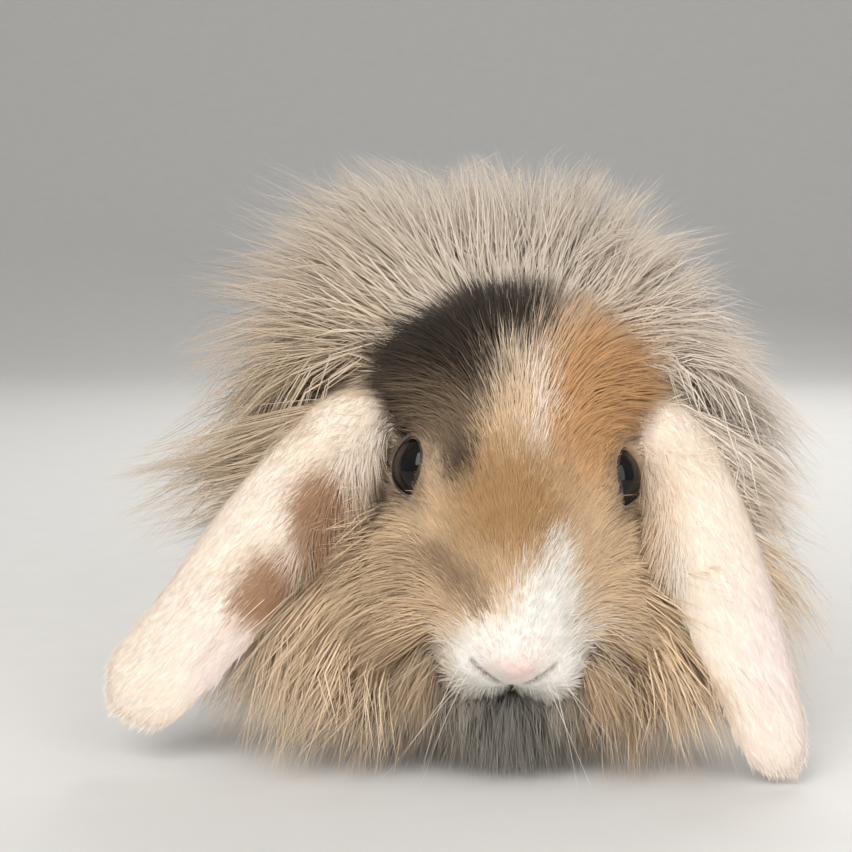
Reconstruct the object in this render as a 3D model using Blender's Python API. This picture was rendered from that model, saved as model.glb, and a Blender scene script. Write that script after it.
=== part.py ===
"""A lop-eared lionhead rabbit at life size, crouched on its four feet with its head low.

The rabbit faces -Y, its left is +X and +Z is up. The floor is z = 0, and the origin lies on the
floor under the torso. Sizes are written in millimetres and become metres when a mesh is made.
The surfaces are those of the coat, not of the skin beneath it.
"""

import math
import random

import bmesh
import bpy
from mathutils import Matrix, Vector
from mathutils.bvhtree import BVHTree

MM = 0.001
GAP = 0.32
HULL_MARGIN = 1.5
FLOOR_CLEARANCE = 1.2

# Head: places in it are (side, forward, up) from the point midway between the eyes
EYE_MIDPOINT = Vector((0.0, -103.0, 74.0))
HEAD_PITCH = math.radians(48)
HEAD_ROLL = math.radians(-4.5)
# forward, middle height, half width, rise above the middle, drop below it
HEAD_STATIONS = (
    (-47, 0, 3, 3, 3),
    (-44, 0, 15, 14, 11),
    (-37, -1, 24.5, 24, 18),
    (-26, -3, 30, 32, 23),
    (-13, -6, 31.5, 34, 22.5),
    (0, -8, 31, 33, 19.5),
    (13, -9, 29, 30.5, 17),
    (25, -9, 25.5, 26, 15.5),
    (36, -9, 21, 22, 13.5),
    (45, -9.5, 17.5, 18, 12.5),
    (51, -9.5, 13.5, 14, 10.5),
    (55, -9, 8.5, 9, 7),
    (57, -9, 2.5, 3, 2),
)
HEAD_CROWN_SQUARENESS, HEAD_CHEEK_SQUARENESS = 1.8, 2.2
EYE_PLACE = (22.6, 1.0, 2.5)
EYE_RADIUS = 9.2
EYE_FORWARD, EYE_UPWARD = 0.34, 0.60
ORBIT_RADII = (10.8, 12.0, 10.6)
ORBIT_MOUND = ((18.0, -1.0, 2.5), (13.4, 20.0, 14.5))
LID_HALF_LENGTH, LID_HALF_HEIGHT = 7.8, 7.3
WHISKER_PAD = ((9.0, 46.5, -12.5), (10.4, 11.0, 10.0))
NOSE_PAD = ((0.0, 52.0, -3.0), (8.0, 6.0, 6.5))
CHIN = ((0.0, 42.0, -21.5), (10.0, 9.5, 5.5))
NOSTRIL_PATH = ((0.7, -10.4), (3.4, -9.4), (6.8, -7.2), (10.4, -5.6))
PHILTRUM_PATH = ((0.0, -10.2), (0.0, -12.5), (0.0, -15.5), (0.0, -18.0))
LIP_PATH = ((0.0, -18.0), (5.0, -20.4), (10.5, -20.6), (15.0, -18.0))

# Ears: centre line of each, half width across the blade, half depth through its fold
EAR_RIGHT_LINE = (
    (-24, -92, 87), (-36, -94, 88), (-47.5, -99, 83), (-59.5, -104, 67.5), (-71.5, -109, 50),
    (-84, -113, 33), (-93, -115, 23.5), (-103, -116, 13.5),
)
EAR_LEFT_LINE = (
    (23, -92, 86), (31, -93, 87), (39.5, -96.5, 82), (46.5, -103, 66), (52.5, -109.5, 48),
    (58, -114.5, 32), (62.5, -120, 18), (67, -125, 2.5),
)
EAR_RIGHT_HALF_WIDTH = (9.0, 12.0, 14.2, 15.4, 15.8, 15.2, 14.4, 13.6)
EAR_LEFT_HALF_WIDTH = (9.0, 11.5, 13.6, 14.4, 14.4, 12.8, 11.2, 10.4)
EAR_HALF_DEPTH = (6.0, 6.5, 6.6, 6.0, 5.2, 4.4, 3.6, 3.0)
EAR_THICKNESS = 3.2
EAR_FACING = (0.2, -0.95, 0.24)
EAR_RINGS, EAR_RIM_FROM = 13, 14.0

# Torso: along y, height of the widest line, half width, rise above it, drop below it
TORSO_STATIONS = (
    (-75, 44, 4, 5, 5),
    (-72, 44, 20, 30, 24),
    (-61, 47, 33, 47, 31),
    (-45, 50, 40, 58, 40),
    (-28, 50, 45, 67, 49),
    (0, 48, 50, 81, 49),
    (34, 47, 53, 92, 47),
    (66, 47, 54, 95, 45),
    (98, 47, 52, 88, 43),
    (122, 46, 44, 71, 41),
    (138, 44, 31, 47, 34),
    (147, 43, 14, 20, 18),
    (149, 43, 4, 5, 5),
)
TORSO_BACK_SQUARENESS, TORSO_BELLY_SQUARENESS = 2.1, 2.8
NECK_STATIONS = (
    (-52, 72, 27, 30, 28),
    (-62, 75, 30, 31, 30),
    (-76, 80, 30, 30, 31),
    (-88, 80, 26, 26, 27),
)
HAUNCH = ((41.0, 75.0, 50.0), (33.0, 57.0, 47.0), math.radians(-14))
HIND_FOOT_SIDE = 50.0
# along y, half width, height of the foot's top
HIND_FOOT_STATIONS = (
    (112, 3, 7), (109, 8, 15), (98, 10, 19), (76, 10.5, 17), (52, 11, 15.5),
    (34, 12.5, 15), (22, 12.5, 13.5), (15, 10, 10.5), (12, 4, 6),
)
HIND_FOOT_SPLAY = 0.07
HIND_TOES = ((-8.0, 20.0, 4.2), (-2.8, 13.5, 4.5), (2.9, 12.5, 4.6), (8.4, 17.0, 4.2))
FORELEG_LINE = ((36, -14, 44), (37, -34, 34), (30, -50, 22), (24, -58, 13))
FORELEG_RADII = (15.5, 14.0, 11.0, 8.5)
FOREPAW_SIDE = 23.0
FOREPAW_STATIONS = (
    (-44, 3, 7), (-46, 7, 12), (-52, 9, 15), (-62, 9.8, 14), (-70, 10, 12.5),
    (-76, 8, 10), (-79, 4, 6),
)
FORE_TOES = ((-7.2, -70.5, 3.6), (-2.6, -77.0, 4.0), (2.5, -78.0, 4.0), (7.2, -73.5, 3.7))
TOE_LENGTH, TOE_RISE = 9.0, 5.6
CLAW_LENGTH, CLAW_RADIUS = 6.5, 1.5
TAIL_PLACE, TAIL_RADII = (0.0, 147.0, 58.0), (14.5, 12.5, 21.0)
TAIL_LEAN = math.radians(-24)

EAR_TO_EYE = 0.7
CLEARED_BY_HULL = ("head", "eye_left", "eye_right")

# Mane: a collar about a line along y, its angle counted from straight up towards +X
MANE_HEIGHT = 84.0
MANE_INNER = 29.0
MANE_CORE_SHARE = 0.5
# Rows of locks: place across the core, lean of the tips along y, share of the full reach,
# spacing at the core, half width
MANE_ROWS = (
    (0.06, -1, 0.94, 15.0, 10.8), (0.32, 8, 1.0, 18.0, 12.0), (0.60, 25, 0.96, 22.0, 13.0),
    (0.87, 41, 0.76, 25.0, 13.5),
)
MANE_FORWARD_LOW = -8.0
# Degrees that the tips are swept down the mane's sides past their roots
MANE_SWEEP = 8.0
LOCK_ROOT_DEPTH = 7.0
LOCK_HALF_THICKNESS = 2.8
# share of the lock's length, its fullness there
LOCK_TAPER = ((0.0, 0.8), (0.4, 1.0), (0.74, 0.78))
LOCK_LOWEST_TIP, LOCK_DROOP = 3.2, 8.0
# angle, reach of the tips from the mane's line
MANE_REACH = (
    (-180, 84), (-160, 89), (-140, 103), (-120, 100), (-103, 98), (-88, 97), (-72, 94),
    (-55, 94), (-40, 91), (-25, 83), (0, 76), (25, 78), (42, 78), (60, 77), (80, 80),
    (100, 84), (120, 90), (140, 98), (160, 88), (180, 84),
)
# angle either way from straight up, the mane's front and back along y
MANE_SPAN = (
    (0, -87, -36), (60, -88, -38), (100, -90, -44), (125, -95, -56), (145, -108, -72),
    (165, -117, -84), (180, -118, -86),
)
# where each piece starts and ends about the mane's line, and its rows of locks from the front
MANE_NODES = {
    "mane_crown": (-50, 50, 4),
    "mane_left": (50, 112, 4),
    "mane_right": (-112, -50, 4),
    "ruff_left": (112, 149, 3),
    "ruff_right": (-149, -112, 3),
    "bib": (149, 211, 3),
}

COLOURS = {
    "cream": (0.62, 0.49, 0.36), "tan": (0.50, 0.29, 0.13), "white": (0.72, 0.64, 0.54),
    "ear": (0.68, 0.53, 0.43), "brown": (0.30, 0.19, 0.11), "eye": (0.012, 0.009, 0.008),
}


def clear_scene():
    for item in list(bpy.data.objects):
        bpy.data.objects.remove(item)


def material(name, roughness=0.85):
    found = bpy.data.materials.get(name)
    if found:
        return found
    made = bpy.data.materials.new(name)
    made.use_nodes = True
    shader = made.node_tree.nodes["Principled BSDF"]
    shader.inputs["Base Color"].default_value = (*COLOURS[name], 1)
    shader.inputs["Roughness"].default_value = roughness
    shader.inputs["Metallic"].default_value = 0.0
    return made


def head_matrix():
    """From the head's own millimetres to the world's."""
    forward = Vector((0, -math.cos(HEAD_PITCH), -math.sin(HEAD_PITCH)))
    up = Vector((0, -math.sin(HEAD_PITCH), math.cos(HEAD_PITCH)))
    turned = Matrix.Rotation(HEAD_ROLL, 3, forward)
    axes = turned @ Matrix((Vector((1, 0, 0)), forward, up)).transposed()
    return Matrix.Translation(EYE_MIDPOINT) @ axes.to_4x4()


HEAD = head_matrix()
UPRIGHT = Matrix.Identity(4)


def between(rows, at):
    """The other columns of rows where the first is at, on a smooth curve with no overshoot."""
    first = [row[0] for row in rows]
    if first[0] > first[-1]:
        return between(rows[::-1], at)
    at = min(max(at, first[0]), first[-1])
    last = len(rows) - 1
    low = next(i for i in range(last) if at <= first[i + 1])
    found = []
    for column in range(1, len(rows[0])):
        value = [row[column] for row in rows]
        slope = [
            (value[i + 1] - value[i]) / (first[i + 1] - first[i]) for i in range(last)
        ]

        def tangent(i):
            if i in (0, last):
                return slope[min(i, last - 1)]
            before, after = slope[i - 1], slope[i]
            return 0.0 if before * after <= 0 else 2 * before * after / (before + after)

        width = first[low + 1] - first[low]
        t = (at - first[low]) / width
        found.append(
            (1 + 2 * t) * (1 - t) ** 2 * value[low]
            + t * (1 - t) ** 2 * width * tangent(low)
            + t * t * (3 - 2 * t) * value[low + 1]
            + t * t * (t - 1) * width * tangent(low + 1)
        )
    return found


def along_line(points, share):
    """The point at this share of a smooth line through points."""
    rows = [(i, *point) for i, point in enumerate(points)]
    return Vector(between(rows, share * (len(points) - 1)))


def object_from(name, mesh_data, colour="cream"):
    mesh = bpy.data.meshes.new(name)
    bmesh.ops.recalc_face_normals(mesh_data, faces=mesh_data.faces[:])
    bmesh.ops.triangulate(mesh_data, faces=mesh_data.faces[:])
    mesh_data.to_mesh(mesh)
    mesh_data.free()
    mesh.shade_smooth()
    made = bpy.data.objects.new(name, mesh)
    made.data.materials.append(material(colour))
    bpy.context.scene.collection.objects.link(made)
    return made


def closed_tube(name, rings, colour="cream"):
    """A closed body through rings of points in millimetres, its two ends closed by a fan."""
    data = bmesh.new()
    loops = [[data.verts.new(point * MM) for point in ring] for ring in rings]
    for one, two in zip(loops, loops[1:]):
        for i in range(len(one)):
            j = (i + 1) % len(one)
            data.faces.new((one[i], one[j], two[j], two[i]))
    for loop in (loops[0], loops[-1]):
        centre = data.verts.new(sum((v.co for v in loop), Vector()) / len(loop))
        for i in range(len(loop)):
            data.faces.new((loop[i], loop[(i + 1) % len(loop)], centre))
    return object_from(name, data, colour)


def oval(place, middle, half_width, rise, drop, sides, squareness):
    """A ring round a middle height: rise above it, drop below it. place gives (side, up) a point."""
    points = []
    for i in range(sides):
        turn = 2 * math.pi * (i + 0.5) / sides
        cosine, sine = math.cos(turn), math.sin(turn)
        upper, lower = squareness
        power = 2 / (upper if sine > 0 else lower)
        side = math.copysign(abs(cosine) ** power, cosine) * half_width
        up = math.copysign(abs(sine) ** power, sine) * (rise if sine > 0 else drop)
        points.append(place(side, middle + up))
    return points


def lofted(name, stations, rings, sides, frame, colour="cream", squareness=(2.15, 2.15)):
    """A body through ovals read from the stations; closer together at the two ends."""
    start, end = stations[0][0], stations[-1][0]
    made = []
    for i in range(rings):
        share = 0.5 - 0.5 * math.cos(math.pi * i / (rings - 1))
        share = 0.55 * share + 0.45 * i / (rings - 1)
        at = start + (end - start) * share
        middle, half_width, rise, drop = between(stations, at)
        made.append(
            oval(lambda side, up: frame @ Vector((side, at, up)),
                 middle, half_width, rise, drop, sides, squareness)
        )
    return closed_tube(name, made, colour)


def ball(name, centre, radii, frame=UPRIGHT, turn=UPRIGHT, segments=16, rings=10, colour="cream"):
    """An egg of these radii in millimetres, turned about its own centre."""
    data = bmesh.new()
    bmesh.ops.create_uvsphere(data, u_segments=segments, v_segments=rings, radius=1.0)
    place = frame @ Matrix.Translation(Vector(centre)) @ turn @ Matrix.Diagonal((*radii, 1))
    bmesh.ops.transform(data, matrix=Matrix.Scale(MM, 4) @ place, verts=data.verts[:])
    return object_from(name, data, colour)


def tube(name, points, radius_at, sides=6, closed=False, colour="cream"):
    """A round tube along points in millimetres; radius_at gives its radius at each share."""
    count = len(points)
    rings = []
    for i, point in enumerate(points):
        before = points[i - 1] if closed or i else points[0]
        after = points[(i + 1) % count] if closed or i < count - 1 else points[-1]
        direction = (after - before).normalized()
        across = direction.orthogonal().normalized()
        across = (Vector((0.31, 0.52, 0.79)).cross(direction)).normalized()
        other = direction.cross(across)
        radius = radius_at(i / (count - 1))
        rings.append([
            point + radius * (math.cos(a) * across + math.sin(a) * other)
            for a in (2 * math.pi * k / sides for k in range(sides))
        ])
    if not closed:
        return closed_tube(name, rings, colour)
    data = bmesh.new()
    loops = [[data.verts.new(point * MM) for point in ring] for ring in rings]
    for one, two in zip(loops, loops[1:] + loops[:1]):
        for i in range(sides):
            j = (i + 1) % sides
            data.faces.new((one[i], one[j], two[j], two[i]))
    return object_from(name, data, colour)


def combine(target, others, operation, keep=False, solver="MANIFOLD"):
    """One Boolean of target with all of others, applied. The others are then removed."""
    group = bpy.data.collections.new("operands")
    bpy.context.scene.collection.children.link(group)
    for item in others:
        group.objects.link(item)
    step = target.modifiers.new(operation.lower(), "BOOLEAN")
    step.operation = operation
    step.solver = solver
    step.operand_type = "COLLECTION"
    step.collection = group
    graph = bpy.context.evaluated_depsgraph_get()
    mesh = bpy.data.meshes.new_from_object(target.evaluated_get(graph))
    target.modifiers.clear()
    target.data = mesh
    bpy.data.collections.remove(group)
    if not keep:
        for item in others:
            bpy.data.objects.remove(item)
    keep_largest(target)
    return target


def keep_largest(item):
    """Leaves the largest closed surface of an object's mesh."""
    data = bmesh.new()
    data.from_mesh(item.data)
    bmesh.ops.remove_doubles(data, verts=data.verts[:], dist=1e-7)
    left, shells = set(data.faces), []
    while left:
        shell, edge_of_search = [], [left.pop()]
        while edge_of_search:
            face = edge_of_search.pop()
            shell.append(face)
            for edge in face.edges:
                if len(edge.link_faces) != 2:
                    continue
                for other in edge.link_faces:
                    if other in left:
                        left.discard(other)
                        edge_of_search.append(other)
        shells.append(shell)
    if len(shells) > 1:

        def volume(shell):
            total = 0.0
            for face in shell:
                corners = [loop.vert.co for loop in face.loops]
                for i in range(1, len(corners) - 1):
                    total += corners[0].dot(corners[i].cross(corners[i + 1]))
            return abs(total)

        shells.sort(key=volume)
        bmesh.ops.delete(data, geom=[f for s in shells[:-1] for f in s], context="FACES")
    data.to_mesh(item.data)
    data.free()
    item.data.shade_smooth()


def grown(item, by=GAP):
    """A copy of a closed body, its surface moved outwards; it cuts the clearance round a body."""
    data = bmesh.new()
    data.from_mesh(item.data)
    data.normal_update()
    moved = {v: v.co + v.normal * (by * MM * min(2.4, v.calc_shell_factor())) for v in data.verts}
    for vertex, place in moved.items():
        vertex.co = place
    copy = object_from("grown_" + item.name, data)
    return copy


def block(name, centre, size, turn=UPRIGHT):
    """A box used as a cutter."""
    data = bmesh.new()
    bmesh.ops.create_cube(data, size=1.0)
    place = Matrix.Translation(Vector(centre)) @ turn @ Matrix.Diagonal((*size, 1))
    bmesh.ops.transform(data, matrix=Matrix.Scale(MM, 4) @ place, verts=data.verts[:])
    return object_from(name, data)


def tree_of(item):
    data = bmesh.new()
    data.from_mesh(item.data)
    tree = BVHTree.FromBMesh(data)
    data.free()
    return tree


def eye_matrix(side):
    """The eyeball's place, its own z looking out of the head and its y towards the nose."""
    out = Vector((side, EYE_FORWARD, EYE_UPWARD)).normalized()
    nose = Vector((0, 1, -0.35))
    nose = (nose - nose.dot(out) * out).normalized()
    across = nose.cross(out)
    axes = Matrix((across, nose, out)).transposed().to_4x4()
    place = Vector((side * EYE_PLACE[0], EYE_PLACE[1], EYE_PLACE[2]))
    return HEAD @ Matrix.Translation(place) @ axes


def make_eye(name, side):
    radii = (EYE_RADIUS, EYE_RADIUS, EYE_RADIUS)
    eye = ball(name, (0, 0, 0), radii, eye_matrix(side), segments=16, rings=10, colour="eye")
    eye.data.materials[0].node_tree.nodes["Principled BSDF"].inputs["Roughness"].default_value = 0.08
    return eye


def eye_opening(side):
    """A flaring cutter of almond outline, for the gap between the lids."""
    frame = eye_matrix(side)
    rings = []
    for out, scale in ((2.0, 0.9), (EYE_RADIUS - 1, 1.0), (EYE_RADIUS + 4, 1.3)):
        ring = []
        for i in range(18):
            turn = 2 * math.pi * i / 18
            along = LID_HALF_LENGTH * math.cos(turn)
            over = LID_HALF_HEIGHT * math.sin(turn) * (1 - 0.18 * abs(math.cos(turn)))
            ring.append(frame @ Vector((over * scale, along * scale, out)))
        rings.append(ring)
    return closed_tube("opening", rings)


def groove(tree, path, radius, frame_from):
    """A thin cutter laid on the muzzle's surface along (side, up) places seen from in front."""
    points = []
    for share in (i / 6 for i in range(7)):
        side, up = along_line([(*p, 0.0) for p in path], share)[:2]
        start = frame_from @ Vector((side, 80, up))
        toward = (frame_from.to_3x3() @ Vector((0, -1, 0))).normalized()
        hit = tree.ray_cast(start * MM, toward)[0]
        if hit is not None:
            points.append(hit / MM + toward * (0.1 * radius))
    return tube("groove", points, lambda share: radius * (0.55 + 0.45 * math.sin(math.pi * share)), 5)


def orbits(segments, rings, margin):
    """The lids' bulge over each eye, and the low mound that it rises from."""
    pieces = []
    for side in (-1, 1):
        radii = [r + margin for r in ORBIT_RADII]
        pieces.append(ball("orbit", (0, 0, 0), radii, eye_matrix(side), segments=segments, rings=rings))
        (x, y, z), radii = ORBIT_MOUND
        radii = [r + margin for r in radii]
        pieces.append(ball("mound", (side * x, y, z), radii, HEAD, segments=segments, rings=rings))
    return pieces


def muzzle_balls(segments, rings, margin):
    """The two whisker pads, the nose and the chin."""
    (x, y, z), radii = WHISKER_PAD
    balls = [((side * x, y, z), radii) for side in (-1, 1)] + [NOSE_PAD, CHIN]
    return [
        ball("muzzle", place, [r + margin for r in radii], HEAD, segments=segments, rings=rings)
        for place, radii in balls
    ]


def make_head():
    squareness = (HEAD_CROWN_SQUARENESS, HEAD_CHEEK_SQUARENESS)
    head = lofted("head", HEAD_STATIONS, 18, 22, HEAD, "tan", squareness)
    pieces = orbits(16, 9, 0.0) + muzzle_balls(12, 8, 0.0)
    combine(head, pieces, "UNION")
    tree = tree_of(head)
    cutters = [groove(tree, PHILTRUM_PATH, 0.9, HEAD)]
    for side in (-1, 1):
        cutters.append(groove(tree, [(side * x, z) for x, z in NOSTRIL_PATH], 1.15, HEAD))
        cutters.append(groove(tree, [(side * x, z) for x, z in LIP_PATH], 0.8, HEAD))
    return combine(head, cutters, "DIFFERENCE")


def head_hull():
    """A coarser head, a little larger, which cuts the mane clear of it."""
    squareness = (HEAD_CROWN_SQUARENESS, HEAD_CHEEK_SQUARENESS)
    hull = lofted("hull", HEAD_STATIONS, 12, 16, HEAD, "tan", squareness)
    larger = grown(hull, HULL_MARGIN)
    bpy.data.objects.remove(hull)
    return combine(larger, muzzle_balls(8, 6, HULL_MARGIN), "UNION")


def folded_blade(name, rings, half, colour):
    """A closed body through crescent rings: half + 1 outer points, then the inner ones backwards."""
    data = bmesh.new()
    loops = [[data.verts.new(point * MM) for point in ring] for ring in rings]
    for one, two in zip(loops, loops[1:]):
        for i in range(len(one)):
            j = (i + 1) % len(one)
            data.faces.new((one[i], one[j], two[j], two[i]))
    for loop in (loops[0], loops[-1]):
        inner = [loop[0]] + loop[:half:-1] + [loop[half]]
        for k in range(half):
            corners = [loop[k], loop[k + 1], inner[k + 1], inner[k]]
            data.faces.new(list(dict.fromkeys(corners)))
    return object_from(name, data, colour)


def make_ear(name, side, line, half_widths):
    """A folded blade: the outer side bulges, the inner side is the cup, open from end to end."""
    facing = Vector((side * EAR_FACING[0], EAR_FACING[1], EAR_FACING[2])).normalized()
    length = sum((Vector(b) - Vector(a)).length for a, b in zip(line, line[1:]))
    round_share = half_widths[-1] / length
    shares = [(1 - round_share) * i / (EAR_RINGS - 1) for i in range(EAR_RINGS)]
    shares += [1 - round_share * (1 - math.sin(math.pi / 2 * i / 4)) for i in (1, 2, 3)] + [0.999]
    rings = []
    half = 8
    for share in shares:
        point = along_line(line, share)
        ahead = along_line(line, min(1, share + 0.02)) - along_line(line, max(0, share - 0.02))
        direction = ahead.normalized()
        out = (facing - facing.dot(direction) * direction).normalized()
        across = direction.cross(out)
        past = max(0.0, share - (1 - round_share)) / round_share
        narrowing = math.sqrt(1 - past * past)
        half_width = along_line([(w, 0, 0) for w in half_widths], share)[0] * narrowing
        depth = along_line([(d, 0, 0) for d in EAR_HALF_DEPTH], share)[0] * (0.4 + 0.6 * narrowing)
        wall = min(EAR_THICKNESS, depth * 1.1)
        outer, inner = [], []
        for k in range(half + 1):
            turn = math.pi * k / half
            bulge = depth * (1.7 * math.sin(turn) - 0.7)
            outer.append(point + across * (half_width * math.cos(turn)) + out * bulge)
            if 0 < k < half:
                narrow = half_width * (1 - 0.7 * wall / EAR_RIM_FROM) * math.cos(turn)
                cup = bulge - wall * math.sin(turn) ** 0.5
                inner.append(point + across * narrow + out * cup)
        rings.append(outer + inner[::-1])
    return folded_blade(name, rings, half, "ear")


def below_floor(clearance=0.0):
    """All that lies lower than this height over the floor."""
    return block("below_floor", (0, 0, -50 + clearance), (500, 600, 100))


def make_torso():
    """The belly just meets the floor, on a small flat round the origin."""
    squareness = (TORSO_BACK_SQUARENESS, TORSO_BELLY_SQUARENESS)
    torso = lofted("torso", TORSO_STATIONS, 18, 24, UPRIGHT, squareness=squareness)
    return combine(torso, [below_floor()], "DIFFERENCE")


def flat_foot(name, side, centre, stations, splay, toes, heel, colour):
    """A foot on its sole: a low arch in section, with rounded toes and claws fused to its front."""
    rings = []
    for y, half_width, top in stations:
        middle_x = side * (centre + splay * (heel - y))
        ring = []
        for i in range(8):
            turn = 2 * math.pi * (i + 0.5) / 8
            cosine, sine = math.cos(turn), math.sin(turn)
            x = math.copysign(abs(cosine) ** 0.8, cosine) * half_width
            z = top * (0.38 + 0.62 * sine) if sine > 0 else top * 0.38 * (1 + 1.4 * sine)
            ring.append(Vector((middle_x + x, y, max(0.0, z))))
        rings.append(ring)
    foot = closed_tube(name, rings, colour)
    pieces = []
    for offset, y, radius in toes:
        x = side * (centre + splay * (heel - y) + offset)
        rise = TOE_RISE
        pieces.append(ball("toe", (x, y, rise * 0.93), (radius, TOE_LENGTH, rise), segments=7, rings=4))
        tip = Vector((x, y - TOE_LENGTH - CLAW_LENGTH * 0.45, 2.2))
        root = Vector((x, y - TOE_LENGTH + 3.5, 5.2))
        middle = (tip + root) / 2 + Vector((0, 0, 0.7))
        pieces.append(tube("claw", [root, middle, tip],
                           lambda share: CLAW_RADIUS * (1 - 0.8 * share), 4))
    combine(foot, pieces, "UNION")
    return combine(foot, [below_floor()], "DIFFERENCE")


def make_foreleg(name, side):
    points = [along_line([(side * x, y, z) for x, y, z in FORELEG_LINE], i / 8) for i in range(9)]
    radii = [(r, 0, 0) for r in FORELEG_RADII]
    return tube(name, points, lambda share: along_line(radii, share)[0], 12, colour="white")


def make_haunch(name, side):
    (x, y, z), radii, lean = HAUNCH
    turn = Matrix.Rotation(lean, 4, "X")
    return ball(name, (side * x, y, z), radii, turn=turn, segments=18, rings=12)


def make_tail():
    turn = Matrix.Rotation(TAIL_LEAN, 4, "X")
    return ball("tail", TAIL_PLACE, TAIL_RADII, turn=turn, segments=14, rings=10, colour="white")


def mane_reach(angle):
    """How far the tips reach from the mane's line, at this angle in degrees from straight up."""
    return between(MANE_REACH, (angle + 180) % 360 - 180)[0]


def mane_span(angle):
    """The front and back of the mane along y at this angle."""
    return between(MANE_SPAN, abs((angle + 180) % 360 - 180))


def mane_point(angle, radius, y):
    turn = math.radians(angle)
    return Vector((radius * math.sin(turn), y, MANE_HEIGHT + radius * math.cos(turn)))


def collar(name, start, end, outer_at, colour="cream"):
    """A part of the collar between two angles, with a rounded outer side."""
    steps = max(3, round(abs(end - start) / 14))
    rings = []
    for i in range(steps + 1):
        angle = start + (end - start) * i / steps
        front, back = mane_span(angle)
        outer, middle, half = outer_at(angle), (front + back) / 2, (back - front) / 2
        ring = []
        for k in range(7):
            turn = math.pi * k / 6
            radius = MANE_INNER + (outer - MANE_INNER) * math.sin(turn) ** 0.7
            ring.append(mane_point(angle, radius, middle - half * math.cos(turn)))
        rings.append(ring)
    return closed_tube(name, rings, colour)


def core_reach(angle):
    return MANE_INNER + MANE_CORE_SHARE * (mane_reach(angle) - MANE_INNER)


def lock(root, bend, tip, half_width, flat_way):
    """A flat lock along a curve from root to tip, a thin diamond in section, tapered to a point."""
    data = bmesh.new()
    loops = []
    for share, fullness in LOCK_TAPER:
        rest = 1 - share
        point = rest * rest * root + 2 * rest * share * bend + share * share * tip
        direction = (rest * (bend - root) + share * (tip - bend)).normalized()
        across = direction.cross(flat_way).normalized()
        through = across.cross(direction)
        wide = across * (half_width * fullness)
        thick = through * (LOCK_HALF_THICKNESS * fullness)
        corners = (point + wide, point + thick, point - wide, point - thick)
        loops.append([data.verts.new(corner * MM) for corner in corners])
    for one, two in zip(loops, loops[1:]):
        for i in range(4):
            j = (i + 1) % 4
            data.faces.new((one[i], one[j], two[j], two[i]))
    end = data.verts.new(tip * MM)
    for i in range(4):
        data.faces.new((loops[-1][i], loops[-1][(i + 1) % 4], end))
    data.faces.new(loops[0])
    return object_from("lock", data)


def mane_lock(angle, row, chance):
    """One lock of the mane, rooted in the core and bent from the core's lie to the tips'."""
    place, lean, share_of_reach, spacing, half_width = row
    low = (1 - math.cos(math.radians(angle))) / 2
    front, back = mane_span(angle)
    middle, half = (front + back) / 2, (back - front) / 2
    turn = math.pi * place
    core = core_reach(angle)
    radius = MANE_INNER + (core - MANE_INNER) * math.sin(turn) ** 0.7
    surface = mane_point(angle, radius, middle - half * math.cos(turn))
    centre = mane_point(angle, (MANE_INNER + core) / 2, middle)
    outwards = (surface - centre).normalized()
    root = surface - outwards * LOCK_ROOT_DEPTH
    reach = mane_reach(angle) * share_of_reach * chance.uniform(0.93, 1.03)
    tip_y = surface.y + lean * (1 - low) ** 1.5 + chance.uniform(-2, 2)
    if place < 0.3:
        tip_y += MANE_FORWARD_LOW * low ** 3
    sweep = MANE_SWEEP * math.sin(math.radians(angle)) + chance.uniform(-6, 6)
    tip = mane_point(angle + sweep, reach, tip_y)
    tip.z -= LOCK_DROOP * place * math.sin(math.radians(angle)) ** 2
    tip.z = max(tip.z, LOCK_LOWEST_TIP)
    radial = mane_point(angle - sweep, 1, 0) - mane_point(angle - sweep, 0, 0)
    bend = surface + (outwards * 0.4 + radial * 0.6) * (0.55 * (tip - surface).length)
    flat_way = Vector((chance.uniform(-0.25, 0.25), -1, 0)) + radial * (1.2 * place)
    return lock(root, bend, tip, half_width * chance.uniform(0.9, 1.08), flat_way)


def make_mane(name, start, end, rows):
    """A core under rows of locks, all between two planes through the mane's line."""
    chance = random.Random(name)
    node = collar(name, start, end, core_reach)
    core = core_reach((start + end) / 2)
    locks = []
    for number, row in enumerate(MANE_ROWS[:rows]):
        margin = math.degrees(row[4] * 0.55 / core)
        count = max(2, round(math.radians(end - start - 2 * margin) * core / row[3]) + 1)
        step = (end - start - 2 * margin) / count
        for i in range(count):
            angle = start + margin + step * (i + (0.25 if number % 2 else 0.75))
            locks.append(mane_lock(angle, row, chance))
    combine(node, locks, "UNION")
    cutters = [below_floor(FLOOR_CLEARANCE), beyond(start, -1), beyond(end, 1)]
    return combine(node, cutters, "DIFFERENCE")


def beyond(angle, way):
    """All that lies past the plane through the mane's line at this angle."""
    turn = Matrix.Rotation(math.radians(angle), 4, "Y")
    centre = Vector((0, 0, MANE_HEIGHT)) + turn @ Vector((way * (150 - GAP / 2), 0, 0))
    return block("beyond", centre, (300, 400, 400), turn)


def near(one, two, margin=0.002):
    """Whether the boxes of two objects come this near to each other."""
    boxes = []
    for item in (one, two):
        places = [v.co for v in item.data.vertices]
        boxes.append([(min(p[i] for p in places), max(p[i] for p in places)) for i in range(3)])
    return all(
        a[0] - margin < b[1] and b[0] - margin < a[1] for a, b in zip(*boxes)
    )


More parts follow.
